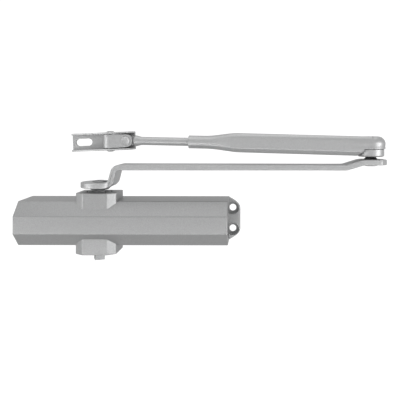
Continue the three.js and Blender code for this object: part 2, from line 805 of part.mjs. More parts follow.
function knuckle() {
  const half = knuckleDepth / 2;
  const tail = -pinRise - barrelRadius - 1;
  const side = new THREE.Shape();
  side.moveTo(tail, -knuckleHalf);
  side.lineTo(0, -knuckleHalf);
  side.absarc(0, 0, knuckleHalf, -Math.PI / 2, Math.PI / 2, false);
  side.lineTo(tail, knuckleHalf);
  side.closePath();
  const cheeks = pushed(side, "xz", -half, half);
  const beyond = 2 * knuckleHalf; // past the knuckle on every side
  const barrel = round("z", barrelRadius, -beyond, beyond, [-pinRise, 0], FINE);
  const front = block([-pinRise, beyond], [-half, half], [-beyond, beyond]);
  const slotHalf = eyeHalf + GAP;
  const slot = block([knuckleSlotEnd, beyond], [-slotHalf, slotHalf], [-beyond, beyond]);
  const pinHole = round("y", knucklePinRadius + GAP, -half - 1, half + 1);
  const shoePinHole = round("z", shoePinRadius + GAP, -beyond, beyond, [-pinRise, 0]);
  return cut(cheeks.intersect(joined(barrel, front)), slot, pinHole, shoePinHole);
}

// A pin along an axis with a flat head at each end.
function headedPin(axis, radius, headRadius, half, headHeight) {
  const shank = round(axis, radius, -half - OVERLAP, half + OVERLAP);
  const heads = both.map((side) => {
    const span = [side * half, side * (half + headHeight)].sort((a, b) => a - b);
    return round(axis, headRadius, ...span);
  });
  return joined(shank, ...heads);
}

function knucklePin() {
  const half = knuckleDepth / 2 + GAP;
  return headedPin("y", knucklePinRadius, knucklePinHead, half, pinHeadHeight);
}

// ---- Shoe, in a frame with its origin on the shoe pin ---------------------------------------------------

function shoe() {
  const back = -shoePinY; // the door frame's face, behind the pin
  const front = back - flangeHigh;
  const low = back - flangeLow;
  const left = shoeRight - shoeLength;
  const side = [
    at(left, back), at(shoeRight, back), at(shoeRight, front + flangeCorner.y),
    at(shoeRight - flangeCorner.x, front), at(flangeFall[0], front),
    at(left + flangeFall[1], low - flangeFall[2]), at(left, low),
  ];
  const whole = pushed(side.reverse(), "xy", -shoeHalf, shoeHalf);
  const inner = shoeHalf - shoePlate;
  const inside = block(
    [left - 1, shoeRight + 1],
    [front - 1, back - shoeBase],
    [-inner, inner],
  );
  const run = (slotLength - slotWidth) / 2;
  const slotDepth = [back - shoeBase - 1, back + 1];
  const slotEnds = both.map((end) => (
    round("y", slotWidth / 2, ...slotDepth, [end * run - slotFromPin, 0])
  ));
  const slotSpan = [-slotFromPin - run, run - slotFromPin];
  const slot = block(slotSpan, slotDepth, [-slotWidth / 2, slotWidth / 2]);
  const pinHole = round("z", shoePinRadius + GAP, -shoeHalf - 1, shoeHalf + 1);
  return cut(whole, inside, ...slotEnds, slot, pinHole);
}

const shoePin = () => headedPin("z", shoePinRadius, shoePinHead, shoeHalf + GAP, pinHeadHeight);

// ---- Assembly -----------------------------------------------------------------------------------------

const finishes = {
  silver_paint: { color: 0xb4b6b8, roughness: 0.42, metalness: 0.35 },
  steel: { color: 0x9a9c9f, roughness: 0.35, metalness: 0.9 },
  dark_steel: { color: 0x4c4e51, roughness: 0.45, metalness: 0.8 },
  brass: { color: 0xb08d4c, roughness: 0.35, metalness: 0.9 },
  rubber: { color: 0x202124, roughness: 0.85, metalness: 0 },
};

const closer = new THREE.Group();
const forearmFrame = new THREE.Group();
forearmFrame.position.set(armLength, axisY, 0);
forearmFrame.rotation.z = yaw;
const knuckleFrame = new THREE.Group();
knuckleFrame.position.set(knuckleX, knuckleY, knuckleZ);
knuckleFrame.rotation.set(0, -shoeTilt, yaw, "ZYX");
const shoeFrame = new THREE.Group();
shoeFrame.position.set(shoePinX, shoePinY, shoePinZ);
shoeFrame.rotation.y = -shoeTilt;
closer.add(forearmFrame, knuckleFrame, shoeFrame);

function place(group, name, made, finish) {
  const mesh = new THREE.Mesh(geometryOf(made), new THREE.MeshStandardMaterial(finishes[finish]));
  mesh.name = name;
  group.add(mesh);
}

place(closer, "body_casting", bodyCasting(), "silver_paint");
place(closer, "left_end_plug", leftEndPlug(), "steel");
place(closer, "right_end_plug", rightEndPlug(), "steel");
place(closer, "left_plug_seal", ringSeal(-(bodyLeft - plugRecess - plugLength / 2)), "rubber");
place(closer, "right_plug_seal", ringSeal(bodyRight - plugRecess - plugLength / 2), "rubber");
for (const [side, up] of [["upper", 1], ["lower", -1]]) {
  const finish = { bearing: "steel", shaft_seal: "rubber", retaining_nut: "steel" };
  for (const [name, made] of bearingStack(up)) place(closer, `${side}_${name}`, made, finish[name]);
}
place(closer, "sweep_valve", valveScrew(1), "brass");
place(closer, "latch_valve", valveScrew(-1), "brass");
place(closer, "main_spring", mainSpring(), "dark_steel");
place(closer, "spring_seat", springSeat(), "steel");
place(closer, "power_adjuster", powerAdjuster(), "steel");
place(closer, "piston", piston(), "steel");
place(closer, "piston_seal", ringSeal(pistonRight - rightHead / 2), "rubber");
place(closer, "check_ball", ball(ballRadius, checkSeat + ballRadius + 2 * GAP), "steel");
place(closer, "check_valve_seat", checkValveSeat(), "brass");
place(closer, "pinion_shaft", pinionShaft(), "steel");
place(closer, "main_arm", mainArm(), "silver_paint");
place(closer, "arm_screw", armScrew(), "steel");
place(closer, "elbow_stud", elbowStud(), "silver_paint");
place(closer, "elbow_spacer", elbowSpacer(), "dark_steel");
place(forearmFrame, "elbow_bush", elbowBush(), "silver_paint");
place(forearmFrame, "forearm_socket", forearmSocket(), "silver_paint");
place(forearmFrame, "adjusting_rod", adjustingRod(), "silver_paint");
place(knuckleFrame, "knuckle", knuckle(), "silver_paint");
place(knuckleFrame, "knuckle_pin", knucklePin(), "silver_paint");
place(shoeFrame, "shoe", shoe(), "silver_paint");
place(shoeFrame, "shoe_pin", shoePin(), "silver_paint");

export default closer;
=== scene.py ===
# %% [markdown]
# # A surface-mounted door closer
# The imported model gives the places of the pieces, the joints and the bodies. Every piece that can
# be seen is modelled again here with soft edges and true rounds, where the frame says it is.

# %% The frame
import json
import math

import bmesh
import bpy
from mathutils import Matrix, Vector


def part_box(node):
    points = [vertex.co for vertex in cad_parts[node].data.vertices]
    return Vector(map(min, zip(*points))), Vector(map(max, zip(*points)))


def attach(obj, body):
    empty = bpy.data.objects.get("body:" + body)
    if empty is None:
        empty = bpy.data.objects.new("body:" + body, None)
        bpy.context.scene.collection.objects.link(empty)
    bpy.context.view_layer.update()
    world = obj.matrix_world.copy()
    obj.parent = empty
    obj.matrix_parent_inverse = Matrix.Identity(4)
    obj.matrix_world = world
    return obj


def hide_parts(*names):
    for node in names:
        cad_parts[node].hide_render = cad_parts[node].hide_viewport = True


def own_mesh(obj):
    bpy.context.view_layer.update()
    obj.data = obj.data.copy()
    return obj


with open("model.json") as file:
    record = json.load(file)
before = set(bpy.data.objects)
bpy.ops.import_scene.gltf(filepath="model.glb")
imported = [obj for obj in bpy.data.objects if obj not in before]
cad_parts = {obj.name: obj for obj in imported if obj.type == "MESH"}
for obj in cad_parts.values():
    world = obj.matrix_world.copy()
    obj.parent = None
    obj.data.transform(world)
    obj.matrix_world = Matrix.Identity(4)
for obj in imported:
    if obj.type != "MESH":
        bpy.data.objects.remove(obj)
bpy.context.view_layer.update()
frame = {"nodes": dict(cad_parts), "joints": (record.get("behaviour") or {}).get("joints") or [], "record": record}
joints = {joint["name"]: joint for joint in frame["joints"]}
MM = 0.001
GAP = 0.3  # millimetres between pieces that touch
PAST = 1  # millimetres that a cutting tool reaches past the piece it cuts


def joint_place(name):
    """Where a joint's axis runs, in millimetres."""
    return Vector(joints[name]["pos_m"]) / MM


PINION = joint_place("arm_swing")
ELBOW = joint_place("elbow_pivot")
KNUCKLE = joint_place("knuckle_tilt")
SHOE_PIN = joint_place("shoe_pivot")

# %% [markdown]
# ## The camera
# The closer is looked at square on from in front of the door, from a little above and to the right
# of its middle. A sensor shift keeps the picture plane parallel to the door, so upright edges stay
# upright.

# %% Camera
VIEW_FROM = Vector((151.5, -562, 95.8))
VIEW_ROLL = math.radians(-0.1)
SENSOR, LENS = 36, 45
SHIFT = (-0.1033, -0.17)
camera = bpy.data.objects.new("camera", bpy.data.cameras.new("camera"))
bpy.context.scene.collection.objects.link(camera)
camera.location = VIEW_FROM * MM
camera.rotation_euler = (math.pi / 2, VIEW_ROLL, 0)
camera.data.sensor_width = SENSOR
camera.data.lens = LENS
camera.data.shift_x, camera.data.shift_y = SHIFT
bpy.context.scene.camera = camera

# %% [markdown]
# ## Backdrop and light
# A glowing backdrop curves up far behind the closer and gives a white ground without shadows. The
# metal doesn't mirror it, and the rest of the room is grey. A soft light overhead, a strong one at
# the right and a narrow strip low in front draw the edges: the chamfers that face right shine, and
# each crease gets a thin bright line. Weaker lights at the left and in front fill the shaded sides.

# %% Backdrop
BACKDROP_LEVEL, BACKDROP_HALF = -900, 3200
BACKDROP_NEAR, BACKDROP_FAR = 400, 2400
CURVE_RADIUS, CURVE_STEPS = 900, 16
GLOW_BASE, GLOW_STRENGTH = 0.1, 1


def studio_backdrop():
    """A sheet to the far wall, curved up by a spin and pulled up straight."""
    bm = bmesh.new()
    near = [
        bm.verts.new((x * MM, BACKDROP_NEAR * MM, BACKDROP_LEVEL * MM))
        for x in (-BACKDROP_HALF, BACKDROP_HALF)
    ]
    flat = bmesh.ops.extrude_edge_only(bm, edges=[bm.edges.new(near)])["geom"]
    far = [v for v in flat if isinstance(v, bmesh.types.BMVert)]
    reach = BACKDROP_FAR - CURVE_RADIUS - BACKDROP_NEAR
    bmesh.ops.translate(bm, verts=far, vec=(0, reach * MM, 0))
    rim = [e for e in flat if isinstance(e, bmesh.types.BMEdge)]
    centre = (0, (BACKDROP_FAR - CURVE_RADIUS) * MM, (BACKDROP_LEVEL + CURVE_RADIUS) * MM)
    spun = bmesh.ops.spin(
        bm, geom=[*far, *rim], cent=centre, axis=(1, 0, 0), angle=math.pi / 2, steps=CURVE_STEPS,
    )["geom_last"]
    wall = bmesh.ops.extrude_edge_only(
        bm, edges=[e for e in spun if isinstance(e, bmesh.types.BMEdge)],
    )["geom"]
    top = [v for v in wall if isinstance(v, bmesh.types.BMVert)]
    bmesh.ops.translate(bm, verts=top, vec=(0, 0, BACKDROP_HALF * MM))
    mesh = bpy.data.meshes.new("studio_backdrop")
    bm.to_mesh(mesh)
    bm.free()
    mesh.shade_smooth()
    made = bpy.data.objects.new("studio_backdrop", mesh)
    bpy.context.scene.collection.objects.link(made)
    return made


backdrop = studio_backdrop()
glow = bpy.data.materials.new("backdrop_glow")
glow.use_nodes = True
glow_shader = glow.node_tree.nodes["Principled BSDF"]
glow_shader.inputs["Base Color"].default_value = (GLOW_BASE, GLOW_BASE, GLOW_BASE, 1)
glow_shader.inputs["Roughness"].default_value = 1
glow_shader.inputs["Emission Color"].default_value = (1, 1, 1, 1)
glow_shader.inputs["Emission Strength"].default_value = GLOW_STRENGTH
backdrop.data.materials.append(glow)
backdrop.visible_glossy = False

# %% Lights
LIGHTS_AIM = (100, -30, 20)
LIGHTS = {  # place in millimetres, size in metres and power in watts
    "overhead_light": ((120, -60, 620), (1.0, 0.5), 1.3),
    "side_light": ((1000, -560, 60), (0.5, 0.5), 3.5),
    "left_light": ((-800, -500, 150), (0.5, 0.7), 2.5),
    "strip_light": ((100, -500, -240), (2.0, 0.05), 2.2),
    "front_light": ((150, -1300, 200), (1.6, 0.9), 0.5),
}
SURROUND_LEVEL = 0.62


def soft_light(name, place, size, power):
    """An area light that faces the middle of the closer."""
    lamp = bpy.data.objects.new(name, bpy.data.lights.new(name, "AREA"))
    lamp.data.shape = "RECTANGLE"
    lamp.data.size, lamp.data.size_y = size
    lamp.data.energy = power
    lamp.location = Vector(place) * MM
    aim = (Vector(LIGHTS_AIM) - Vector(place)).to_track_quat("-Z", "Y")
    lamp.rotation_euler = aim.to_euler()
    bpy.context.scene.collection.objects.link(lamp)


for name, (place, size, power) in LIGHTS.items():
    soft_light(name, place, size, power)

world = bpy.data.worlds.new("studio")
world.use_nodes = True
surround = world.node_tree.nodes["Background"]
surround.inputs["Color"].default_value = (1, 1, 1, 1)
surround.inputs["Strength"].default_value = SURROUND_LEVEL
bpy.context.scene.world = world
bpy.context.scene.view_settings.view_transform = "Standard"

# %% [markdown]
# ## Finishes
# The whole closer is sprayed with one aluminium-silver paint: a satin coat with fine metal fleck.
# The fleck and a slight orange peel come from noise on the object's own coordinates. The arm,
# forearm and shoe get a lighter copy of the same paint: painted light, standing in for the stronger
# light that falls on these higher parts. The small parts are plated steel, blackened steel, brass
# and rubber.

# %% Material helpers
def new_material(name):
    """A material and its shader, ready for nodes."""
    material = bpy.data.materials.new(name)
    material.use_nodes = True
    shader = material.node_tree.nodes["Principled BSDF"]
    return material, shader


def add_noise(tree, scale, detail=2.0, roughness=0.5):
    place = tree.nodes.new("ShaderNodeTexCoord")
    noise = tree.nodes.new("ShaderNodeTexNoise")
    noise.inputs["Scale"].default_value = scale
    noise.inputs["Detail"].default_value = detail
    noise.inputs["Roughness"].default_value = roughness
    tree.links.new(place.outputs["Object"], noise.inputs["Vector"])
    return noise.outputs["Fac"]


def add_ramp(tree, value, stops):
    """A colour ramp over a value; stops are (position, colour)."""
    ramp = tree.nodes.new("ShaderNodeValToRGB")
    for stop, (position, colour) in zip(ramp.color_ramp.elements, stops):
        stop.position = position
        stop.color = colour
    tree.links.new(value, ramp.inputs["Fac"])
    return ramp.outputs["Color"]


def add_range(tree, value, low, high):
    spread = tree.nodes.new("ShaderNodeMapRange")
    spread.inputs["To Min"].default_value = low
    spread.inputs["To Max"].default_value = high
    tree.links.new(value, spread.inputs["Value"])
    return spread.outputs["Result"]


def add_bump(tree, shader, height, strength, distance):
    bump = tree.nodes.new("ShaderNodeBump")
    bump.inputs["Strength"].default_value = strength
    bump.inputs["Distance"].default_value = distance
    tree.links.new(height, bump.inputs["Height"])
    tree.links.new(bump.outputs["Normal"], shader.inputs["Normal"])


def grey(level, tint=0.0):
    """A neutral colour, a touch cooler with more tint."""
    return (level * (1 - tint), level, level * (1 + tint), 1)


# %% Silver paint
# The arm's level is painted light: the same silver paint made lighter for the arm, forearm and shoe, standing in
# for the stronger light on these higher parts.
BODY_PAINT, LIT_ARM_PAINT = 0.35, 0.45
FLECK_SCALE, PEEL_SCALE = 1900, 900  # per metre: the flecks are about half a millimetre
FLECK_DARK, FLECK_LIGHT = 0.8, 1.22  # as shares of the paint's level
PAINT_METALLIC = 0.7
PAINT_ROUGHNESS = (0.36, 0.5)


def silver_paint(name, level):
    material, shader = new_material(name)
    tree = material.node_tree
    fleck = add_noise(tree, FLECK_SCALE, 3, 0.7)
    colour = add_ramp(tree, fleck, [
        (0.32, grey(level * FLECK_DARK, 0.006)), (0.7, grey(level * FLECK_LIGHT, 0.004)),
    ])
    tree.links.new(colour, shader.inputs["Base Color"])
    shader.inputs["Metallic"].default_value = PAINT_METALLIC
    tree.links.new(add_range(tree, fleck, *PAINT_ROUGHNESS), shader.inputs["Roughness"])
    add_bump(tree, shader, add_noise(tree, PEEL_SCALE, 2), 0.12, 0.0002)
    return material


# %% Plated, blackened, turned and moulded finishes
STEEL_GRAIN, BRASS_GRAIN, RUBBER_GRAIN = 700, 800, 1400  # per metre
PLATED, BLACKENED = (0.36, 0.48), (0.10, 0.42)  # level and roughness
SPREAD = 0.07  # of the steel's roughness


def machined_steel(name, level, rough):
    material, shader = new_material(name)
    tree = material.node_tree
    grain = add_noise(tree, STEEL_GRAIN, 4, 0.6)
    colour = add_ramp(tree, grain, [
        (0.35, grey(level * 0.85, 0.01)), (0.7, grey(level * 1.1, 0.01)),
    ])
    tree.links.new(colour, shader.inputs["Base Color"])
    shader.inputs["Metallic"].default_value = 0.9
    roughness = add_range(tree, grain, rough - SPREAD, rough + SPREAD)
    tree.links.new(roughness, shader.inputs["Roughness"])
    add_bump(tree, shader, grain, 0.1, 0.0001)
    return material


def turned_brass():
    material, shader = new_material("turned_brass")
    tree = material.node_tree
    grain = add_noise(tree, BRASS_GRAIN, 3)
    colour = add_ramp(tree, grain, [(0.3, (0.50, 0.36, 0.14, 1)), (0.75, (0.72, 0.55, 0.26, 1))])
    tree.links.new(colour, shader.inputs["Base Color"])
    shader.inputs["Metallic"].default_value = 0.95
    tree.links.new(add_range(tree, grain, 0.25, 0.4), shader.inputs["Roughness"])
    add_bump(tree, shader, grain, 0.08, 0.0001)
    return material


def black_rubber():
    material, shader = new_material("black_rubber")
    tree = material.node_tree
    grain = add_noise(tree, RUBBER_GRAIN, 3)
    colour = add_ramp(tree, grain, [(0.3, grey(0.018)), (0.7, grey(0.035))])
    tree.links.new(colour, shader.inputs["Base Color"])
    tree.links.new(add_range(tree, grain, 0.6, 0.8), shader.inputs["Roughness"])
    add_bump(tree, shader, grain, 0.15, 0.0001)
    return material


finishes = {
    "silver_paint": silver_paint("silver_paint", BODY_PAINT),
    "steel": machined_steel("plated_steel", *PLATED),
    "dark_steel": machined_steel("blackened_steel", *BLACKENED),
    "brass": turned_brass(),
    "rubber": black_rubber(),
}
# Painted light: a lighter copy of the silver paint stands in for the stronger light on the arm, forearm and shoe.
lit_arm_paint = silver_paint("silver_paint_arm_painted_light", LIT_ARM_PAINT)
slot_of = {part["node"]: part["material_slot"] for part in frame["record"]["subparts"]}
for node, piece in frame["nodes"].items():
    piece.data.materials.clear()
    piece.data.materials.append(finishes[slot_of[node]])
print("finished", len(slot_of), "nodes")

# %% [markdown]
# ## How the pieces are modelled
# Castings and pressings are plates, turned shapes and lofts that are joined and cut with exact
# booleans, as a foundry joins and machines them. A bevel with three segments then softens every edge,
# which gives the thin highlights that painted metal shows. The casting is the exception: its blocks
# are rounded before they are joined, because a bevel would crumple where they meet. Sizes are in
# millimetres until the mesh is done.

# %% Making, joining and finishing pieces
ROUND_STEPS, EDGE_STEPS = 72, 3
SAME, CLOSE, WELD = 1e-5, 1e-3, 2e-3  # millimetres within which points are the same
AXES = {"x": Vector((1, 0, 0)), "y": Vector((0, 1, 0)), "z": Vector((0, 0, 1))}


def rough_piece(name, bm):
    """A bmesh in millimetres as an object."""
    bmesh.ops.remove_doubles(bm, verts=bm.verts, dist=SAME)
    bmesh.ops.recalc_face_normals(bm, faces=bm.faces)
    mesh = bpy.data.meshes.new(name)
    bm.to_mesh(mesh)
    bm.free()
    made = bpy.data.objects.new(name, mesh)
    bpy.context.scene.collection.objects.link(made)
    return made


def plate_bmesh(outline, plane, low, high):
    """A flat outline pushed through a thickness, along Z for "xy", Y for "xz" and X for "yz"."""
    places = {
        "xy": lambda a, b: (a, b, low),
        "xz": lambda a, b: (a, low, b),
        "yz": lambda a, b: (low, a, b),
    }
    push = {"xy": AXES["z"], "xz": AXES["y"], "yz": AXES["x"]}[plane]
    bm = bmesh.new()
    face = bm.faces.new([bm.verts.new(places[plane](a, b)) for a, b in outline])
    grown = bmesh.ops.extrude_face_region(bm, geom=[face])["geom"]
    far = [v for v in grown if isinstance(v, bmesh.types.BMVert)]
    bmesh.ops.translate(bm, verts=far, vec=push * (high - low))
    return bm


def plate(name, outline, plane, low, high):
    return rough_piece(name, plate_bmesh(outline, plane, low, high))


def block(name, x, y, z):
    return plate(name, [(x[0], y[0]), (x[1], y[0]), (x[1], y[1]), (x[0], y[1])], "xy", *z)


def soften(bm, width, least=25):
    """Rounds every edge that is sharper than the least angle, in degrees."""
    sharp = [e for e in bm.edges if e.calc_face_angle(0) > math.radians(least)]
    bmesh.ops.bevel(
        bm, geom=sharp, offset=width, affect="EDGES", segments=EDGE_STEPS, profile=0.5, material=-1,
    )


def turned(name, profile, axis="z", centre=(0, 0, 0), steps=ROUND_STEPS):
    """A profile of (radius, height) points spun about an axis through the centre."""
    bm = bmesh.new()
    line = [bm.verts.new((radius, 0, height)) for radius, height in profile]
    edges = [bm.edges.new(pair) for pair in zip(line, line[1:])]
    bmesh.ops.spin(
        bm, geom=[*line, *edges], cent=(0, 0, 0), axis=(0, 0, 1),
        angle=2 * math.pi, steps=steps, use_merge=True,
    )
    turn = Vector((0, 0, 1)).rotation_difference(AXES[axis]).to_matrix().to_4x4()
    bmesh.ops.transform(bm, matrix=Matrix.Translation(centre) @ turn, verts=bm.verts)
    return rough_piece(name, bm)


def rod(name, radius, low, high, axis="z", centre=(0, 0, 0), steps=ROUND_STEPS):
    return turned(name, [(0, low), (radius, low), (radius, high), (0, high)], axis, centre, steps)


def worked(base, operation, *tools):
    """The base after one boolean with each tool; the tools are used up."""
    for tool in tools:
        step = base.modifiers.new("step", "BOOLEAN")
        step.operation = operation
        step.solver = "EXACT"
        step.object = tool
        graph = bpy.context.evaluated_depsgraph_get()
        shape = bpy.data.meshes.new_from_object(base.evaluated_get(graph))
        base.modifiers.clear()
        old = base.data
        base.data = shape
        bpy.data.meshes.remove(old)
        bpy.data.objects.remove(tool)
    return base


def joined(base, *tools):
    return worked(base, "UNION", *tools)


def cut(base, *tools):
    return worked(base, "DIFFERENCE", *tools)


def kept(base, *tools):
    return worked(base, "INTERSECT", *tools)


def placed(piece, matrix):
    """Moves a piece's own vertices."""
    piece.data.transform(matrix)
    return piece


def cad_copy(node):
    """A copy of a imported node's shape in millimetres."""
    made = bpy.data.objects.new(node, frame["nodes"][node].data.copy())
    bpy.context.scene.collection.objects.link(made)
    return placed(made, Matrix.Scale(1 / MM, 4))


def mirrored(piece, axis):
    """The mirror image of a piece across the origin, with its faces turned out again."""
    placed(piece, Matrix.Scale(-1, 4, AXES[axis]))
    piece.data.flip_normals()
    return piece


def finished(piece, name, finish, body, nodes, edge=0.5, smooth_below=32):
    """Closes a piece, scales it to metres, softens its edges, attaches it to its body and hides the nodes that it
    replaces.
    """
    bm = bmesh.new()
    bm.from_mesh(piece.data)
    bmesh.ops.remove_doubles(bm, verts=bm.verts, dist=WELD)
    bmesh.ops.dissolve_degenerate(bm, edges=bm.edges, dist=CLOSE)
    bmesh.ops.holes_fill(bm, edges=[e for e in bm.edges if e.is_boundary])
    bmesh.ops.scale(bm, vec=(MM, MM, MM), verts=bm.verts)
    bm.to_mesh(piece.data)
    bm.free()
    piece.name = name
    piece.data.name = name
    piece.data.materials.clear()
    # Painted pieces that are not on the body get the lighter copy of the paint, which is painted light.
    painted_light_coat = finish == "silver_paint" and body != "closer_body"
    piece.data.materials.append(lit_arm_paint if painted_light_coat else finishes[finish])
    piece.data.shade_smooth()
    if edge:
        soft = piece.modifiers.new("soft_edges", "BEVEL")
        soft.width = edge * MM
        soft.segments = EDGE_STEPS
        soft.limit_method = "ANGLE"
        soft.angle_limit = math.radians(smooth_below)
        soft.use_clamp_overlap = False
        soft.harden_normals = True
        soft.miter_outer = "MITER_ARC"
    else:
        piece.data.set_sharp_from_angle(angle=math.radians(smooth_below))
        flat = piece.modifiers.new("flat_faces", "WEIGHTED_NORMAL")
        flat.keep_sharp = True
    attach(piece, body)
    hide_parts(*nodes)
    print(name, len(piece.data.polygons), "faces")
    return piece


def arc(centre, radius, start, end, steps):
    """Points along an arc, angles in degrees."""
    turns = [math.radians(start + (end - start) * i / steps) for i in range(steps + 1)]
    return [(centre[0] + radius * math.cos(t), centre[1] + radius * math.sin(t)) for t in turns]


# %% [markdown]
# ## The body casting
# A long block with a flat back and two wide chamfers at the front, a boss above and below for the
# pinion, and a thin lug at each end with two countersunk holes. It is drafted: it grows a little
# towards the back, as a casting must to leave its mould. The holes are cut in the lugs before they
# are joined, so that the end of the block stands whole beside them.

# %% Body block
BODY_LEFT, BODY_RIGHT, BODY_DEPTH = 82, 137.4, 52
FRONT_HALF, SHOULDER_HALF, BACK_HALF, CHAMFER_DEPTH = 9.15, 23.2, 23.8, 13.8
END_DRAFT = 1.2
CAST_EDGE = 0.9
AXIS_Y = PINION.y


def body_block():
    front, shoulder = -BODY_DEPTH, CHAMFER_DEPTH - BODY_DEPTH
    upper = [(front, FRONT_HALF), (shoulder, SHOULDER_HALF), (0, BACK_HALF)]
    lower = [(y, -z) for y, z in reversed(upper)]
    bm = plate_bmesh(upper + lower, "yz", -BODY_LEFT, BODY_RIGHT)
    for v in bm.verts:
        v.co.x += math.copysign(END_DRAFT * (1 + v.co.y / BODY_DEPTH), v.co.x)
    soften(bm, CAST_EDGE)
    return rough_piece("body_block", bm)


# %% Lugs
LUG_THICK, LUG_REACH, LUG_CORNER, LUG_TIP_HALF = 8.5, 12, 5.5, 13.9
LUG_ROOT, LUG_INSET, LUG_TUCK, LUG_ROUND = 20, 0.4, 0.6, 3.4
LUG_STEPS, LUG_LEAST_ANGLE = 6, 40
SCREW_OFFSET, SCREW_SPACING, SCREW_RADIUS = 3.6, 23.1, 3.85
SINK_RADIUS, SINK_LIP, SINK_FLOOR = 6.85, 1.6, 2.2


def lug(side):
    """One lug with its holes; side is -1 at the left and 1 at the right."""
    end = (BODY_LEFT if side < 0 else BODY_RIGHT) + END_DRAFT
    tip = end + LUG_REACH
    root = BACK_HALF - LUG_INSET
    shoulder = (tip - LUG_CORNER, LUG_TIP_HALF + LUG_CORNER)
    upper = [(end - LUG_ROOT, root), (end - LUG_TUCK, root), shoulder, (tip, LUG_TIP_HALF)]
    outline = upper + [(x, -z) for x, z in reversed(upper)]
    bm = plate_bmesh([(side * x, z) for x, z in outline], "xz", -LUG_THICK, 0)
    corners = [
        e for e in bm.edges
        if abs(e.verts[0].co.y - e.verts[1].co.y) > LUG_THICK / 2 and abs(e.verts[0].co.x) > end
    ]
    bmesh.ops.bevel(
        bm, geom=corners, offset=LUG_ROUND, affect="EDGES", segments=LUG_STEPS, profile=0.5,
        material=-1,
    )
    soften(bm, CAST_EDGE, LUG_LEAST_ANGLE)
    made = rough_piece("lug", bm)
    front = -LUG_THICK
    sink = [
        (0, front - PAST), (SINK_RADIUS, front - PAST), (SINK_RADIUS, front + SINK_LIP),
        (SCREW_RADIUS, -SINK_FLOOR), (SCREW_RADIUS, PAST), (0, PAST),
    ]
    x = side * (end + SCREW_OFFSET)
    for up in (-1, 1):
        made = cut(made, turned("sink", sink, "y", (x, 0, up * SCREW_SPACING / 2)))
    return made


# %% Bosses
BOSS_TOP, BOSS_HALF, BOSS_FACE_HALF = 32, 21.3, 12.55
BOSS_FRONT, BOSS_CHAMFER, BOSS_BACK = 45.9, 6, 10.8
NECK_RADIUS, RECESS_RADIUS, RECESS_DEPTH = 12.4, 13.8, 1.4


def bosses():
    """One block that stands out as the upper and the lower boss."""
    cheek = BOSS_CHAMFER - BOSS_FRONT
    right = [(BOSS_FACE_HALF, -BOSS_FRONT), (BOSS_HALF, cheek), (BOSS_HALF, -BOSS_BACK)]
    left = [(-x, y) for x, y in reversed(right)]
    bm = plate_bmesh(right + left, "xy", -BOSS_TOP, BOSS_TOP)
    soften(bm, CAST_EDGE)
    return rough_piece("bosses", bm)


# %% The whole casting
BORE_RADIUS = 18
VALVE_Y, VALVE_Z, VALVE_RADIUS = -13.6, 19, 2.2
VALVE_HOLE_DEPTH, VALVE_HOLE_STEPS, VALVE_STEPS = 18, 32, 40
PINION_AXIS = (PINION.x, PINION.y, 0)
BORE_AXIS = (0, AXIS_Y, 0)


def body_casting():
    made = joined(body_block(), bosses(), lug(-1), lug(1))
    left, right = -BODY_LEFT - END_DRAFT - PAST, BODY_RIGHT + END_DRAFT + PAST
    tools = [rod("bore", BORE_RADIUS, left, right, "x", BORE_AXIS)]
    tools.append(rod("neck", NECK_RADIUS, -BOSS_TOP - PAST, BOSS_TOP + PAST, "z", PINION_AXIS))
    for up in (-1, 1):
        low, high = sorted((up * (BOSS_TOP - RECESS_DEPTH), up * (BOSS_TOP + PAST)))
        tools.append(rod("recess", RECESS_RADIUS, low, high, "z", PINION_AXIS))
        tools.append(rod(
            "valve_hole", VALVE_RADIUS + GAP, left, left + VALVE_HOLE_DEPTH, "x",
            (0, VALVE_Y, up * VALVE_Z), VALVE_HOLE_STEPS,
        ))
    return cut(made, *tools)


finished(
    body_casting(), "closer_casting", "silver_paint", "closer_body", ["body_casting"], edge=0,
)

# %% [markdown]
# ## The main arm
# A flat bar, bent up over the boss and stepped up again at the elbow. It is made as a forge makes it:
# a flat sheet with sharp folds, rounded folds, then thickness, then the outline that the press would
# cut. The square hole for the pinion has a hub under it.

# %% Arm strip
ARM_THICK, HEAD_RADIUS = 5.8, 19.5
HEAD_LEVEL, BAR_LEVEL, ELBOW_LEVEL = 36.6, 55.6, 61.1
ELBOW_TOP = ELBOW_LEVEL + ARM_THICK
ELBOW_AXIS = (ELBOW.x, ELBOW.y, 0)
FOLDS = [(16.44, HEAD_LEVEL), (21.24, BAR_LEVEL), (262.2, BAR_LEVEL), (280.2, ELBOW_LEVEL)]
FOLD_RADII = [9.5, 3.7, 13.1, 18.9]
FOLD_STEPS = 10
SHEET_HALF = 22


def arm_strip():
    """The bent sheet at the arm's underside, thickened upwards."""
    end = ELBOW.x + ARM_END + PAST
    line = [(-HEAD_RADIUS - PAST, HEAD_LEVEL), *FOLDS, (end, ELBOW_LEVEL)]
    bm = bmesh.new()
    points = [bm.verts.new((x, AXIS_Y - SHEET_HALF, z)) for x, z in line]
    edges = [bm.edges.new(pair) for pair in zip(points, points[1:])]
    grown = bmesh.ops.extrude_edge_only(bm, edges=edges)["geom"]
    far = [v for v in grown if isinstance(v, bmesh.types.BMVert)]
    bmesh.ops.translate(bm, verts=far, vec=(0, 2 * SHEET_HALF, 0))
    for (x, z), radius in zip(FOLDS, FOLD_RADII):
        here = line.index((x, z))
        before = (Vector(line[here - 1]) - Vector(line[here])).normalized()
        after = (Vector(line[here + 1]) - Vector(line[here])).normalized()
        run = radius / math.tan(before.angle(after) / 2)
        fold = [
            e for e in bm.edges
            if all(abs(v.co.x - x) < CLOSE and abs(v.co.z - z) < CLOSE for v in e.verts)
        ]
        bmesh.ops.bevel(
            bm, geom=fold, offset=run, affect="EDGES", segments=FOLD_STEPS, profile=0.5,
            material=-1,
        )
    bmesh.ops.recalc_face_normals(bm, faces=bm.faces)
    if bm.faces[:][0].normal.z > 0:
        bmesh.ops.reverse_faces(bm, faces=bm.faces)
    bmesh.ops.solidify(bm, geom=bm.faces[:], thickness=ARM_THICK)
    return rough_piece("arm_strip", bm)


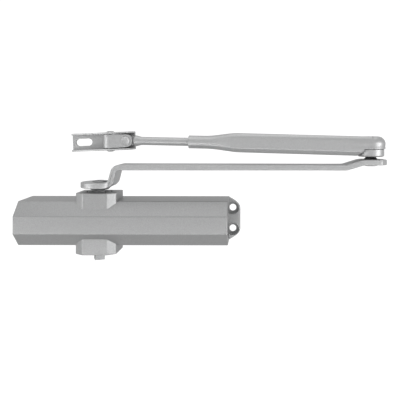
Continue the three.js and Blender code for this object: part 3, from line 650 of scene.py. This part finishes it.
# %% Arm outline and arm
RISER_HALF, BAR_HALF, PAD_HALF, TIP_HALF = 15, 12, 14, 7.4
BAR_END = 240  # where the bar starts to widen towards the elbow
PAD_BEFORE, PAD_AFTER, ARM_END = 10, 8.6, 15.3  # from the elbow's axis
HEAD_STEPS = 64
HUB_RADIUS, HUB_DROP, HUB_FLARE = 9.4, 2.2, 3
SQUARE_SIDE = 10.5
SQUARE_TURN = math.radians(20)
STUD_RADIUS = 4


def arm_outline():
    lean = math.degrees(math.asin(RISER_HALF / HEAD_RADIUS))
    head = arc((0, AXIS_Y), HEAD_RADIUS, lean, 360 - lean, HEAD_STEPS)
    lower = [
        (BAR_END, AXIS_Y - BAR_HALF), (ELBOW.x - PAD_BEFORE, AXIS_Y - PAD_HALF),
        (ELBOW.x + PAD_AFTER, AXIS_Y - PAD_HALF), (ELBOW.x + ARM_END, AXIS_Y - TIP_HALF),
    ]
    upper = [(x, 2 * AXIS_Y - y) for x, y in reversed(lower)]
    return head + lower + upper


def square_bar(name, side, low, high):
    """A square bar on the pinion's axis, turned as the pinion is."""
    half = side / 2
    corners = [(-half, -half), (half, -half), (half, half), (-half, half)]
    turn = Matrix.Translation(PINION_AXIS) @ Matrix.Rotation(SQUARE_TURN, 4, "Z")
    return placed(plate(name, corners, "xy", low, high), turn)


def main_arm():
    outline = plate("arm_outline", arm_outline(), "xy", HEAD_LEVEL - PAST, ELBOW_TOP + PAST)
    inside, under = HEAD_LEVEL + PAST, HEAD_LEVEL - HUB_DROP
    hub = [(0, inside), (0, under), (HUB_RADIUS, under), (HUB_RADIUS + HUB_FLARE, inside)]
    made = joined(kept(arm_strip(), outline), turned("hub", [*hub, hub[0]], "z", PINION_AXIS))
    head_top = HEAD_LEVEL + ARM_THICK + PAST
    return cut(
        made, square_bar("square", SQUARE_SIDE + 2 * GAP, under - PAST, head_top),
        rod("stud_hole", STUD_RADIUS + GAP, ELBOW_LEVEL - PAST, ELBOW_TOP + PAST, "z", ELBOW_AXIS),
    )


finished(main_arm(), "arm_bar", "silver_paint", "arm", ["main_arm"], edge=0.8)

# %% [markdown]
# ## The forearm
# A hollow housing with a rounded top and inward-sloping lower sides. It narrows through a flare into
# the round tube that holds the rod. It is a loft: one ring of vertices is extruded from station to
# station, and each new ring is moved to the section at that place. A turned cap closes the elbow end.

# %% Forearm frame and sections
YAW = -math.atan2(KNUCKLE.y - ELBOW.y, ELBOW.x - KNUCKLE.x)
REACH = math.hypot(KNUCKLE.y - ELBOW.y, ELBOW.x - KNUCKLE.x)
FOREARM_PLACE = Matrix.Translation(ELBOW_AXIS) @ Matrix.Rotation(YAW, 4, "Z")
ROD_SLOPE = math.radians(1)
TUBE_END, FLARE_START, FLARE_END, STATION_STEP = 196, 141, 178, 30
TUBE_RADIUS, ROD_RADIUS = 7.05, 4.5
SECTION_BOTTOM, SECTION_CREASE, SECTION_TOP = 70.6, 75.2, 91.2
BOTTOM_ROUND, CREASE_ROUND, TOP_ROUND = 0.9, 1.6, 5.2
BOTTOM_SHARE, TOP_INSET = 0.74, 0.5  # of the half width; from the half width
SECTION_RISE, SECTION_HALF, SECTION_NARROW = 0.0245, 14.6, 0.02
EDGE_POINTS, CORNER_POINTS, FLARE_STEPS = 10, 7, 14
DECIMALS = 5  # that tell two vertices of a ring apart


def tube_level(distance):
    return KNUCKLE.z - math.tan(ROD_SLOPE) * (REACH - distance)


def corner_arc(before, corner, after, radius):
    """Points round one corner of an outline."""
    a, b = (before - corner).normalized(), (after - corner).normalized()
    run = radius / math.tan(a.angle(b) / 2)
    start, end = corner + a * run, corner + b * run
    centre = corner + (a + b).normalized() * radius / math.sin(a.angle(b) / 2)
    from_centre, to_centre = start - centre, end - centre
    points = []
    for i in range(CORNER_POINTS):
        t = i / (CORNER_POINTS - 1)
        swept = from_centre.lerp(to_centre, t).normalized() * radius
        points.append(centre + swept)
    return points


def section_points(distance):
    """The section at a distance from the elbow, as (y, z) with the tube's centre at 0."""
    half = SECTION_HALF - SECTION_NARROW * distance
    rise = SECTION_RISE * distance - tube_level(distance)
    low, crease, top = (level + rise for level in (SECTION_BOTTOM, SECTION_CREASE, SECTION_TOP))
    right = [
        (half * BOTTOM_SHARE, low, BOTTOM_ROUND), (half, crease, CREASE_ROUND),
        (half - TOP_INSET, top, TOP_ROUND),
    ]
    corners = [(Vector((y, z)), radius) for y, z, radius in right]
    corners += [(Vector((-p.x, p.y)), radius) for p, radius in reversed(corners)]
    arcs = []
    for k, (corner, radius) in enumerate(corners):
        before, after = corners[k - 1][0], corners[(k + 1) % len(corners)][0]
        arcs.append(corner_arc(before, corner, after, radius))
    points = []
    for k, this in enumerate(arcs):
        after = arcs[(k + 1) % len(arcs)][0]
        points += this
        points += [this[-1].lerp(after, i / EDGE_POINTS) for i in range(1, EDGE_POINTS)]
    blend = min(max((distance - FLARE_START) / (FLARE_END - FLARE_START), 0), 1)
    blend = blend * blend * (3 - 2 * blend)
    return [p.lerp(p.normalized() * TUBE_RADIUS, blend) for p in points]


def forearm_loft():
    flare = FLARE_END - FLARE_START
    stations = [*range(STATION_STEP, FLARE_START, STATION_STEP), FLARE_START]
    stations += [FLARE_START + flare * i / FLARE_STEPS for i in range(1, FLARE_STEPS + 1)]
    stations += [TUBE_END]
    bm = bmesh.new()
    ring = [bm.verts.new((0, y, z + tube_level(0))) for y, z in section_points(0)]
    face = bm.faces.new(ring)
    rank_at = {v.co.to_tuple(DECIMALS): k for k, v in enumerate(ring)}
    for distance in stations:
        grown = bmesh.ops.extrude_face_region(bm, geom=[face, *face.edges, *face.verts])["geom"]
        face = next(f for f in grown if isinstance(f, bmesh.types.BMFace))
        section = section_points(distance)
        ranks = {v: rank_at[v.co.to_tuple(DECIMALS)] for v in face.verts}
        for v, k in ranks.items():
            v.co = (-distance, section[k][0], section[k][1] + tube_level(distance))
        rank_at = {v.co.to_tuple(DECIMALS): k for v, k in ranks.items()}
    return rough_piece("forearm_loft", bm)


# %% Forearm housing
CONE_HEIGHT, BUSH_HEIGHT, CAP_HEIGHT, STUD_RISE = 2.4, 7.8, 13.4, 3.4
CONE_LOW = ELBOW_TOP + GAP
CONE_HIGH = CONE_LOW + CONE_HEIGHT
BUSH_LOW = CONE_HIGH + GAP
BUSH_HIGH = BUSH_LOW + BUSH_HEIGHT
CAP_FLOOR = BUSH_HIGH + GAP
CAP_TOP = CAP_FLOOR + CAP_HEIGHT
STUD_TOP = BUSH_HIGH + STUD_RISE
BUSH_RADIUS, CAP_RADIUS, CAP_ROUNDING, CAP_STEPS = 14, 15.3, 8, 10
CAP_LIP = [(-0.5, 0), (0, 0.6), (0, 1.6), (-0.35, 2.2)]  # out from the radius, up from the floor
STUD_ROOM = 1.5
ROD_HOLE_DEPTH = 80
NOTCH_CURVE = [(-19, 70.4), (-13.5, 71.2), (-9.6, 75.5), (-9.4, CAP_FLOOR)]
NOTCH_STEPS = 12
ELBOW_FAR, ELBOW_BELOW = 30, 60  # reach and lowest level of the tools that open the elbow end


def on_rod_line(piece):
    """Lays a piece made along X, with the knuckle pin at 0, on the rod's sloped line."""
    slope = Matrix.Translation((-REACH, 0, KNUCKLE.z)) @ Matrix.Rotation(ROD_SLOPE, 4, "Y")
    return placed(piece, slope)


def bezier(points, steps):
    """Points along one cubic curve."""
    a, b, c, d = (Vector(p) for p in points)
    line = []
    for i in range(steps + 1):
        t = i / steps
        u = 1 - t
        line.append(tuple(a * u ** 3 + b * 3 * t * u * u + c * 3 * t * t * u + d * t ** 3))
    return line


def forearm_housing():
    lip = [(CAP_RADIUS + out, CAP_FLOOR + up) for out, up in CAP_LIP]
    rounding_centre = (CAP_RADIUS - CAP_ROUNDING, CAP_TOP - CAP_ROUNDING)
    corner = arc(rounding_centre, CAP_ROUNDING, 0, 90, CAP_STEPS)
    cap = turned("cap", [(0, CAP_FLOOR), *lip, *corner, (0, CAP_TOP)])
    notch = [
        (ELBOW_FAR, ELBOW_BELOW), (NOTCH_CURVE[0][0], ELBOW_BELOW),
        *bezier(NOTCH_CURVE, NOTCH_STEPS), (ELBOW_FAR, CAP_FLOOR),
    ]
    mouth = REACH - TUBE_END
    rod_hole = rod("rod_hole", ROD_RADIUS + GAP, mouth - PAST, mouth + ROD_HOLE_DEPTH, "x")
    return cut(
        joined(forearm_loft(), cap),
        plate("notch", notch, "xz", -ELBOW_FAR, ELBOW_FAR),
        rod("bush_room", BUSH_RADIUS + GAP, ELBOW_BELOW, CAP_FLOOR),
        rod("stud_room", STUD_RADIUS + STUD_ROOM, CAP_FLOOR - PAST, STUD_TOP + STUD_ROOM),
        on_rod_line(rod_hole),
    )


finished(
    placed(forearm_housing(), FOREARM_PLACE), "forearm_housing", "silver_paint", "forearm",
    ["forearm_socket"], edge=0.4, smooth_below=40,
)

# %% [markdown]
# ## The elbow
# A stud is riveted through the arm from below. A dark cone spaces the joint, and the round bush turns
# on the stud with the forearm. All three are turned parts, so each is one profile and one spin.

# %% Elbow pieces
STUD_HEAD = [(0, 1.2), (5.2, 1.15), (6.6, 0.8), (7.2, 0.3), (7.2, 0)]  # radius, drop under the arm
CONE_LOW_RADIUS, CONE_HIGH_RADIUS, CONE_RIM = 6.9, 4.9, 0.4
BUSH_CHAMFER = 1.2
under_arm = ELBOW_LEVEL - GAP
stud_profile = [(radius, under_arm - drop) for radius, drop in STUD_HEAD]
stud_profile += [(STUD_RADIUS, under_arm), (STUD_RADIUS, STUD_TOP), (0, STUD_TOP)]
on_stud = STUD_RADIUS + GAP
cone_profile = [
    (on_stud, CONE_LOW), (CONE_LOW_RADIUS, CONE_LOW), (CONE_LOW_RADIUS, CONE_LOW + CONE_RIM),
    (CONE_HIGH_RADIUS, CONE_HIGH), (on_stud, CONE_HIGH), (on_stud, CONE_LOW),
]
bush_profile = [
    (on_stud, BUSH_LOW), (BUSH_RADIUS - BUSH_CHAMFER, BUSH_LOW),
    (BUSH_RADIUS, BUSH_LOW + BUSH_CHAMFER), (BUSH_RADIUS, BUSH_HIGH), (on_stud, BUSH_HIGH),
    (on_stud, BUSH_LOW),
]
finished(
    turned("stud", stud_profile, "z", ELBOW_AXIS), "elbow_rivet", "silver_paint", "arm",
    ["elbow_stud"], edge=0.25,
)
finished(
    turned("cone", cone_profile, "z", ELBOW_AXIS), "elbow_cone", "dark_steel", "arm",
    ["elbow_spacer"], edge=0.15,
)
finished(
    turned("bush", bush_profile, "z", ELBOW_AXIS), "elbow_hub", "silver_paint", "forearm",
    ["elbow_bush"], edge=0.3,
)

# %% [markdown]
# ## Rod and eye
# The rod slides in the tube and ends in a shouldered eye that sits between the knuckle's cheeks. The
# shank, the shoulder and the flat tongue are joined, and the pin hole is cut through them.

# %% Rod
EYE_HALF, EYE_END, EYE_RADIUS, EYE_DRAFT = 2.6, 15.6, 6, 0.1
SHOULDER_CHAMFER, SHOULDER_RUN, SHOULDER_END, TAPER_RUN = 0.6, 0.8, 11, 0.4
TONGUE_END, TONGUE_HALF, NOSE_RADIUS = 11.6, 4.4, 5
PIN_RADIUS, PIN_REACH = 2.6, 9  # the reach is half the length of the tools for pin holes
KNUCKLE_END = 7.1
ROD_INSIDE, ROD_CHAMFER = 60, 0.6


def adjusting_rod():
    inside = REACH - TUBE_END + ROD_INSIDE
    shoulder = KNUCKLE_END + 2 * GAP
    profile = [
        (0, shoulder), (EYE_RADIUS - SHOULDER_CHAMFER, shoulder),
        (EYE_RADIUS, shoulder + SHOULDER_RUN), (EYE_RADIUS - EYE_DRAFT, SHOULDER_END),
        (ROD_RADIUS, EYE_END + TAPER_RUN), (ROD_RADIUS, inside - ROD_CHAMFER),
        (ROD_RADIUS - ROD_CHAMFER, inside), (0, inside),
    ]
    tongue = block("tongue", (0, TONGUE_END), (-EYE_HALF, EYE_HALF), (-TONGUE_HALF, TONGUE_HALF))
    nose = rod("nose", NOSE_RADIUS, -EYE_HALF, EYE_HALF, "y")
    pin_hole = rod("pin_hole", PIN_RADIUS + GAP, -PIN_REACH, PIN_REACH, "y")
    return on_rod_line(cut(joined(turned("shank", profile, "x"), tongue, nose), pin_hole))


finished(
    placed(adjusting_rod(), FOREARM_PLACE), "forearm_rod", "silver_paint", "rod",
    ["adjusting_rod"], edge=0.3, smooth_below=40,
)

# %% [markdown]
# ## Knuckle and shoe
# The knuckle is a barrel on the shoe's pin with two flat cheeks that hold the rod's eye. The shoe is
# a pressed channel: its flanges fall away to the left, where a slot takes the screw. Both are tilted
# a little, as the arm hangs. Each pin is a rivet with a head at both ends.

# %% Knuckle
TILT = math.radians(2.4)
KNUCKLE_PLACE = (
    Matrix.Translation(KNUCKLE) @ Matrix.Rotation(YAW, 4, "Z") @ Matrix.Rotation(-TILT, 4, "Y")
)
SHOE_PLACE = Matrix.Translation(SHOE_PIN) @ Matrix.Rotation(-TILT, 4, "Y")
KNUCKLE_HALF, CHEEK_HALF, PIN_RISE, SHOE_PIN_RADIUS = 7.5, 7.3, 18.8, 3
BARREL_RADIUS, CHEEK_STEPS = 8.2, 24
SLOT_END = -9.8  # from the knuckle's pin towards the barrel
FAR = 20  # reach of the tools that cut right through


def knuckle():
    end = arc((0, 0), KNUCKLE_END, -90, 90, CHEEK_STEPS)
    outline = [(-PIN_RISE, -KNUCKLE_HALF), *end, (-PIN_RISE, KNUCKLE_HALF)]
    cheeks = plate("cheeks", outline, "xz", -CHEEK_HALF, CHEEK_HALF)
    barrel_axis = (-PIN_RISE, 0, 0)
    barrel = rod("barrel", BARREL_RADIUS, -KNUCKLE_HALF, KNUCKLE_HALF, "z", barrel_axis)
    slot_half = EYE_HALF + GAP
    return cut(
        joined(cheeks, barrel),
        block("slot", (SLOT_END, FAR), (-slot_half, slot_half), (-FAR, FAR)),
        rod("pin_hole", PIN_RADIUS + GAP, -PIN_REACH, PIN_REACH, "y"),
        rod("barrel_hole", SHOE_PIN_RADIUS + GAP, -PIN_REACH, PIN_REACH, "z", barrel_axis),
    )


finished(
    placed(knuckle(), KNUCKLE_PLACE), "knuckle_block", "silver_paint", "knuckle", ["knuckle"],
    edge=0.45,
)

# %% Rivets of the knuckle and the shoe
DISHED_HEAD = [(0, 0.35), (2.4, 0.45), (3.6, 0.8), (4.3, 1.1), (4.7, 0.9), (5.0, 0.3), (5.0, 0)]
DOMED_HEAD = [(0, 1.3), (2.4, 1.15), (3.9, 0.6), (4.4, 0)]  # both: radius, height over the seat


def rivet(head, radius, half, axis):
    """A pin with the same head at both ends; half is half the length under the heads."""
    front = [(r, -half - height) for r, height in head] + [(radius, -half)]
    back = [(r, -z) for r, z in reversed(front)]
    return turned("rivet", front + back, axis)


finished(
    placed(rivet(DISHED_HEAD, PIN_RADIUS, CHEEK_HALF + GAP / 2, "y"), KNUCKLE_PLACE),
    "knuckle_rivet", "silver_paint", "knuckle", ["knuckle_pin"], edge=0.12,
)

# %% Shoe
SHOE_RIGHT, SHOE_LENGTH, SHOE_HALF, SHOE_PLATE, SHOE_BASE = 25.5, 70, 10, 1.9, 3
FLANGE_HIGH, FLANGE_LOW, FLANGE_START = 21, 7, -8
FALL_RUN, FALL_DROP = 16, 2  # of the flange's gentle end at the left
CORNER_RUN, CORNER_DROP = 4, 6  # of the flange's cut corner at the right
SLOT_FROM_PIN, SLOT_LENGTH, SLOT_WIDTH, SLOT_STEPS = 31.7, 18, 8, 16


def shoe():
    back = -SHOE_PIN.y
    left, top, low = SHOE_RIGHT - SHOE_LENGTH, back - FLANGE_HIGH, back - FLANGE_LOW
    side = [
        (left, back), (SHOE_RIGHT, back), (SHOE_RIGHT, top + CORNER_DROP),
        (SHOE_RIGHT - CORNER_RUN, top), (FLANGE_START, top), (left + FALL_RUN, low - FALL_DROP),
        (left, low),
    ]
    made = plate("shoe", side, "xy", -SHOE_HALF, SHOE_HALF)
    inner = SHOE_HALF - SHOE_PLATE
    floor = back - SHOE_BASE
    room = block("room", (left - PAST, SHOE_RIGHT + PAST), (top - PAST, floor), (-inner, inner))
    run = (SLOT_LENGTH - SLOT_WIDTH) / 2
    ends = arc((-SLOT_FROM_PIN + run, 0), SLOT_WIDTH / 2, -90, 90, SLOT_STEPS)
    ends += arc((-SLOT_FROM_PIN - run, 0), SLOT_WIDTH / 2, 90, 270, SLOT_STEPS)
    slot = plate("slot", ends, "xz", floor - PAST, back + PAST)
    return cut(made, room, slot, rod("pin_hole", SHOE_PIN_RADIUS + GAP, -FAR, FAR))


finished(
    placed(shoe(), SHOE_PLACE), "frame_shoe", "silver_paint", "shoe", ["shoe"], edge=0.5,
)
finished(
    placed(rivet(DOMED_HEAD, SHOE_PIN_RADIUS, SHOE_HALF + GAP / 2, "z"), SHOE_PLACE),
    "shoe_rivet", "silver_paint", "shoe", ["shoe_pin"], edge=0.12,
)

# %% [markdown]
# ## Pinion, nuts and screws
# The pinion's square ends, the slotted nuts in the bosses, the arm's screw and the plugs in the ends
# of the body are small machined parts. The gear teeth lie inside the body and keep their CAD shape.

# %% Pinion
JOURNAL_RADIUS, PINION_BOTTOM, PINION_TOP = 6.9, -40, 41.4
GEAR_ROOM = 12  # half of the box round the gear
OVERLAP = 0.1
TAPPED_RADIUS, TAPPED_DEPTH = 2.6, 9
DOT_RADIUS, DOT_DEPTH = 2.6, 1.6


def pinion_shaft():
    shoulder = BOSS_TOP + PAST
    gear = cad_copy("pinion_shaft")
    bm = bmesh.new()
    bm.from_mesh(gear.data)
    bmesh.ops.remove_doubles(bm, verts=bm.verts, dist=CLOSE)
    bm.to_mesh(gear.data)
    bm.free()
    room = (-GEAR_ROOM, GEAR_ROOM)
    gear = kept(gear, block("room", room, (AXIS_Y - GEAR_ROOM, AXIS_Y + GEAR_ROOM), room))
    made = joined(
        rod("shaft", JOURNAL_RADIUS, -shoulder, shoulder, "z", PINION_AXIS), gear,
        square_bar("lower", SQUARE_SIDE, PINION_BOTTOM, OVERLAP - shoulder),
        square_bar("upper", SQUARE_SIDE, shoulder - OVERLAP, PINION_TOP),
    )
    below = PINION_BOTTOM - PAST
    dot = [(0, below), (DOT_RADIUS, below), (0, PINION_BOTTOM + DOT_DEPTH)]
    top = PINION_TOP + PAST
    return cut(
        made, rod("tapped", TAPPED_RADIUS, PINION_TOP - TAPPED_DEPTH, top, "z", PINION_AXIS),
        turned("dot", dot, "z", PINION_AXIS),
    )


finished(
    pinion_shaft(), "pinion", "steel", "arm", ["pinion_shaft"], edge=0.35, smooth_below=40,
)

# %% Nuts in the bosses
NUT_LOW, NUT_PROUD, NUT_CHAMFER, NUT_DISH = 26.9, 0.5, 0.8, 1.4
KEY_REACH, KEY_HALF, KEY_DEPTH, KEYS = 2.4, 1.3, 1.5, 4


def retaining_nut(up):
    """A round nut with key slots, a little proud of the boss's face."""
    low, high = NUT_LOW, BOSS_TOP + NUT_PROUD
    outer, inner = NECK_RADIUS - GAP, JOURNAL_RADIUS + 2 * GAP
    profile = [
        (inner, low), (outer, low), (outer, high - NUT_CHAMFER), (outer - NUT_CHAMFER, high),
        (inner + NUT_DISH, high), (inner, high - NUT_DISH), (inner, low),
    ]
    made = turned("nut", profile, "z", PINION_AXIS)
    for place in range(KEYS):
        angle = 2 * math.pi * (place + 0.5) / KEYS
        key = block(
            "key", (outer - KEY_REACH, outer + PAST), (-KEY_HALF, KEY_HALF),
            (high - KEY_DEPTH, high + PAST),
        )
        turn = Matrix.Translation(PINION_AXIS) @ Matrix.Rotation(angle, 4, "Z")
        made = cut(made, placed(key, turn))
    return made if up > 0 else mirrored(made, "z")


for side, up in (("upper", 1), ("lower", -1)):
    finished(
        retaining_nut(up), f"{side}_ring_nut", "steel", "closer_body", [f"{side}_retaining_nut"],
        edge=0.2,
    )

# %% Arm screw
SCREW_HEAD = [(0, 1.3), (5, 1.3), (7, 0.9), (7.6, 0.3), (7.6, 0)]  # radius, height over the arm
SCREW_SHANK, SCREW_LENGTH = 2.3, 8
SOCKET_RADIUS, SOCKET_DEPTH, HEXAGON = 2.2, 0.9, 6


def arm_screw():
    seat = HEAD_LEVEL + ARM_THICK + GAP
    end = seat - SCREW_LENGTH
    profile = [(radius, seat + height) for radius, height in SCREW_HEAD]
    profile += [(SCREW_SHANK, seat), (SCREW_SHANK, end), (0, end)]
    top = seat + SCREW_HEAD[0][1]
    socket = rod(
        "socket", SOCKET_RADIUS, top - SOCKET_DEPTH, top + PAST, "z", PINION_AXIS, HEXAGON,
    )
    return cut(turned("screw", profile, "z", PINION_AXIS), socket)


finished(
    arm_screw(), "arm_fixing_screw", "steel", "arm", ["arm_screw"], edge=0.2, smooth_below=40,
)

# %% End plugs
PLUG_RADIUS, PLUG_LENGTH, PLUG_RECESS, PLUG_CHAMFER = 17.7, 13, 3, 1
PLUG_RIM, PLUG_DISH = 4, 0.6  # width of the raised rim and depth of the face inside it
GROOVE_HALF, GROOVE_DEPTH = 1.8, 2.3
ADJUSTER_RADIUS, ADJUSTER_HEAD, ADJUSTER_HEAD_LENGTH = 4, 6.6, 5
SHANK_HOLE_REACH = 20  # from the plug's face, past its inner end
PLUG_SOCKET, PLUG_SOCKET_DEPTH = 5.2, 5


def end_plug(side):
    """A screwed plug with a chamfered face, a groove for its seal and a socket or a hole."""
    face = (BODY_RIGHT if side > 0 else BODY_LEFT) - PLUG_RECESS
    inner, rim = face - PLUG_LENGTH, PLUG_RADIUS - PLUG_RIM
    groove = face - PLUG_LENGTH / 2
    profile = [
        (0, inner), (PLUG_RADIUS, inner), (PLUG_RADIUS, groove - GROOVE_HALF),
        (PLUG_RADIUS - GROOVE_DEPTH, groove - GROOVE_HALF),
        (PLUG_RADIUS - GROOVE_DEPTH, groove + GROOVE_HALF),
        (PLUG_RADIUS, groove + GROOVE_HALF), (PLUG_RADIUS, face - PLUG_CHAMFER),
        (PLUG_RADIUS - PLUG_CHAMFER, face), (rim, face), (rim - PLUG_DISH, face - PLUG_DISH),
        (0, face - PLUG_DISH),
    ]
    made = turned("plug", profile, "x", BORE_AXIS)
    if side < 0:
        socket = rod(
            "socket", PLUG_SOCKET, face - PLUG_SOCKET_DEPTH, face + PAST, "x", BORE_AXIS, HEXAGON,
        )
        return mirrored(cut(made, socket), "x")
    shank, head = ADJUSTER_RADIUS + GAP, ADJUSTER_HEAD + GAP
    return cut(
        made, rod("shank_hole", shank, face - SHANK_HOLE_REACH, face + PAST, "x", BORE_AXIS),
        rod("head_hole", head, face - ADJUSTER_HEAD_LENGTH, face + PAST, "x", BORE_AXIS),
    )


for name, side in (("left", -1), ("right", 1)):
    finished(
        end_plug(side), f"{name}_screw_plug", "steel", "closer_body", [f"{name}_end_plug"],
        edge=0.25, smooth_below=40,
    )

# %% Power adjuster
ADJUSTER_CHAMFER = 0.5
ADJUSTER_SOCKET, ADJUSTER_SOCKET_DEPTH = 2.6, 3.4


def power_adjuster():
    face = BODY_RIGHT - PLUG_RECESS
    neck = face - ADJUSTER_HEAD_LENGTH + GAP
    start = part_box("power_adjuster")[0].x / MM
    profile = [
        (0, start), (ADJUSTER_RADIUS, start), (ADJUSTER_RADIUS, neck), (ADJUSTER_HEAD, neck),
        (ADJUSTER_HEAD, face - ADJUSTER_CHAMFER), (ADJUSTER_HEAD - ADJUSTER_CHAMFER, face),
        (0, face),
    ]
    socket = rod(
        "socket", ADJUSTER_SOCKET, face - ADJUSTER_SOCKET_DEPTH, face + PAST, "x", BORE_AXIS,
        HEXAGON,
    )
    return cut(turned("adjuster", profile, "x", BORE_AXIS), socket)


finished(
    power_adjuster(), "power_screw", "steel", "power_adjuster", ["power_adjuster"], edge=0.2,
    smooth_below=40,
)

# %% Valve screws
VALVE_CHAMFER, NEEDLE_LENGTH, NEEDLE_RADIUS = 0.3, 3, 0.7
DRIVER_REACH, DRIVER_HALF, DRIVER_DEPTH = 3, 0.4, 1.2


def valve_screw(up):
    """A slotted screw with a needle point, which throttles the oil."""
    low, high = (corner.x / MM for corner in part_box("sweep_valve"))
    z = up * VALVE_Z
    profile = [
        (0, low), (VALVE_RADIUS - VALVE_CHAMFER, low), (VALVE_RADIUS, low + VALVE_CHAMFER),
        (VALVE_RADIUS, high - NEEDLE_LENGTH), (NEEDLE_RADIUS, high), (0, high),
    ]
    slot = block(
        "slot", (low - PAST, low + DRIVER_DEPTH), (VALVE_Y - DRIVER_REACH, VALVE_Y + DRIVER_REACH),
        (z - DRIVER_HALF, z + DRIVER_HALF),
    )
    return cut(turned("valve", profile, "x", (0, VALVE_Y, z), VALVE_STEPS), slot)


for name, up in (("sweep", 1), ("latch", -1)):
    finished(
        valve_screw(up), f"{name}_valve_screw", "brass", f"{name}_valve", [f"{name}_valve"],
        edge=0.12, smooth_below=40,
    )

# %% [markdown]
# ## Main spring
# The spring is wound from round wire and sits between the piston and its seat. It is the one piece
# that changes its length: the arm turns the pinion, the pinion pushes the piston, and the coils close
# up. Here the coil keeps its imported shape and length.

# %% Main spring
coil_spring = finished(
    cad_copy("main_spring"), "coil_spring", "dark_steel", "closer_body", ["main_spring"], edge=0,
    smooth_below=50,
)
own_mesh(coil_spring)
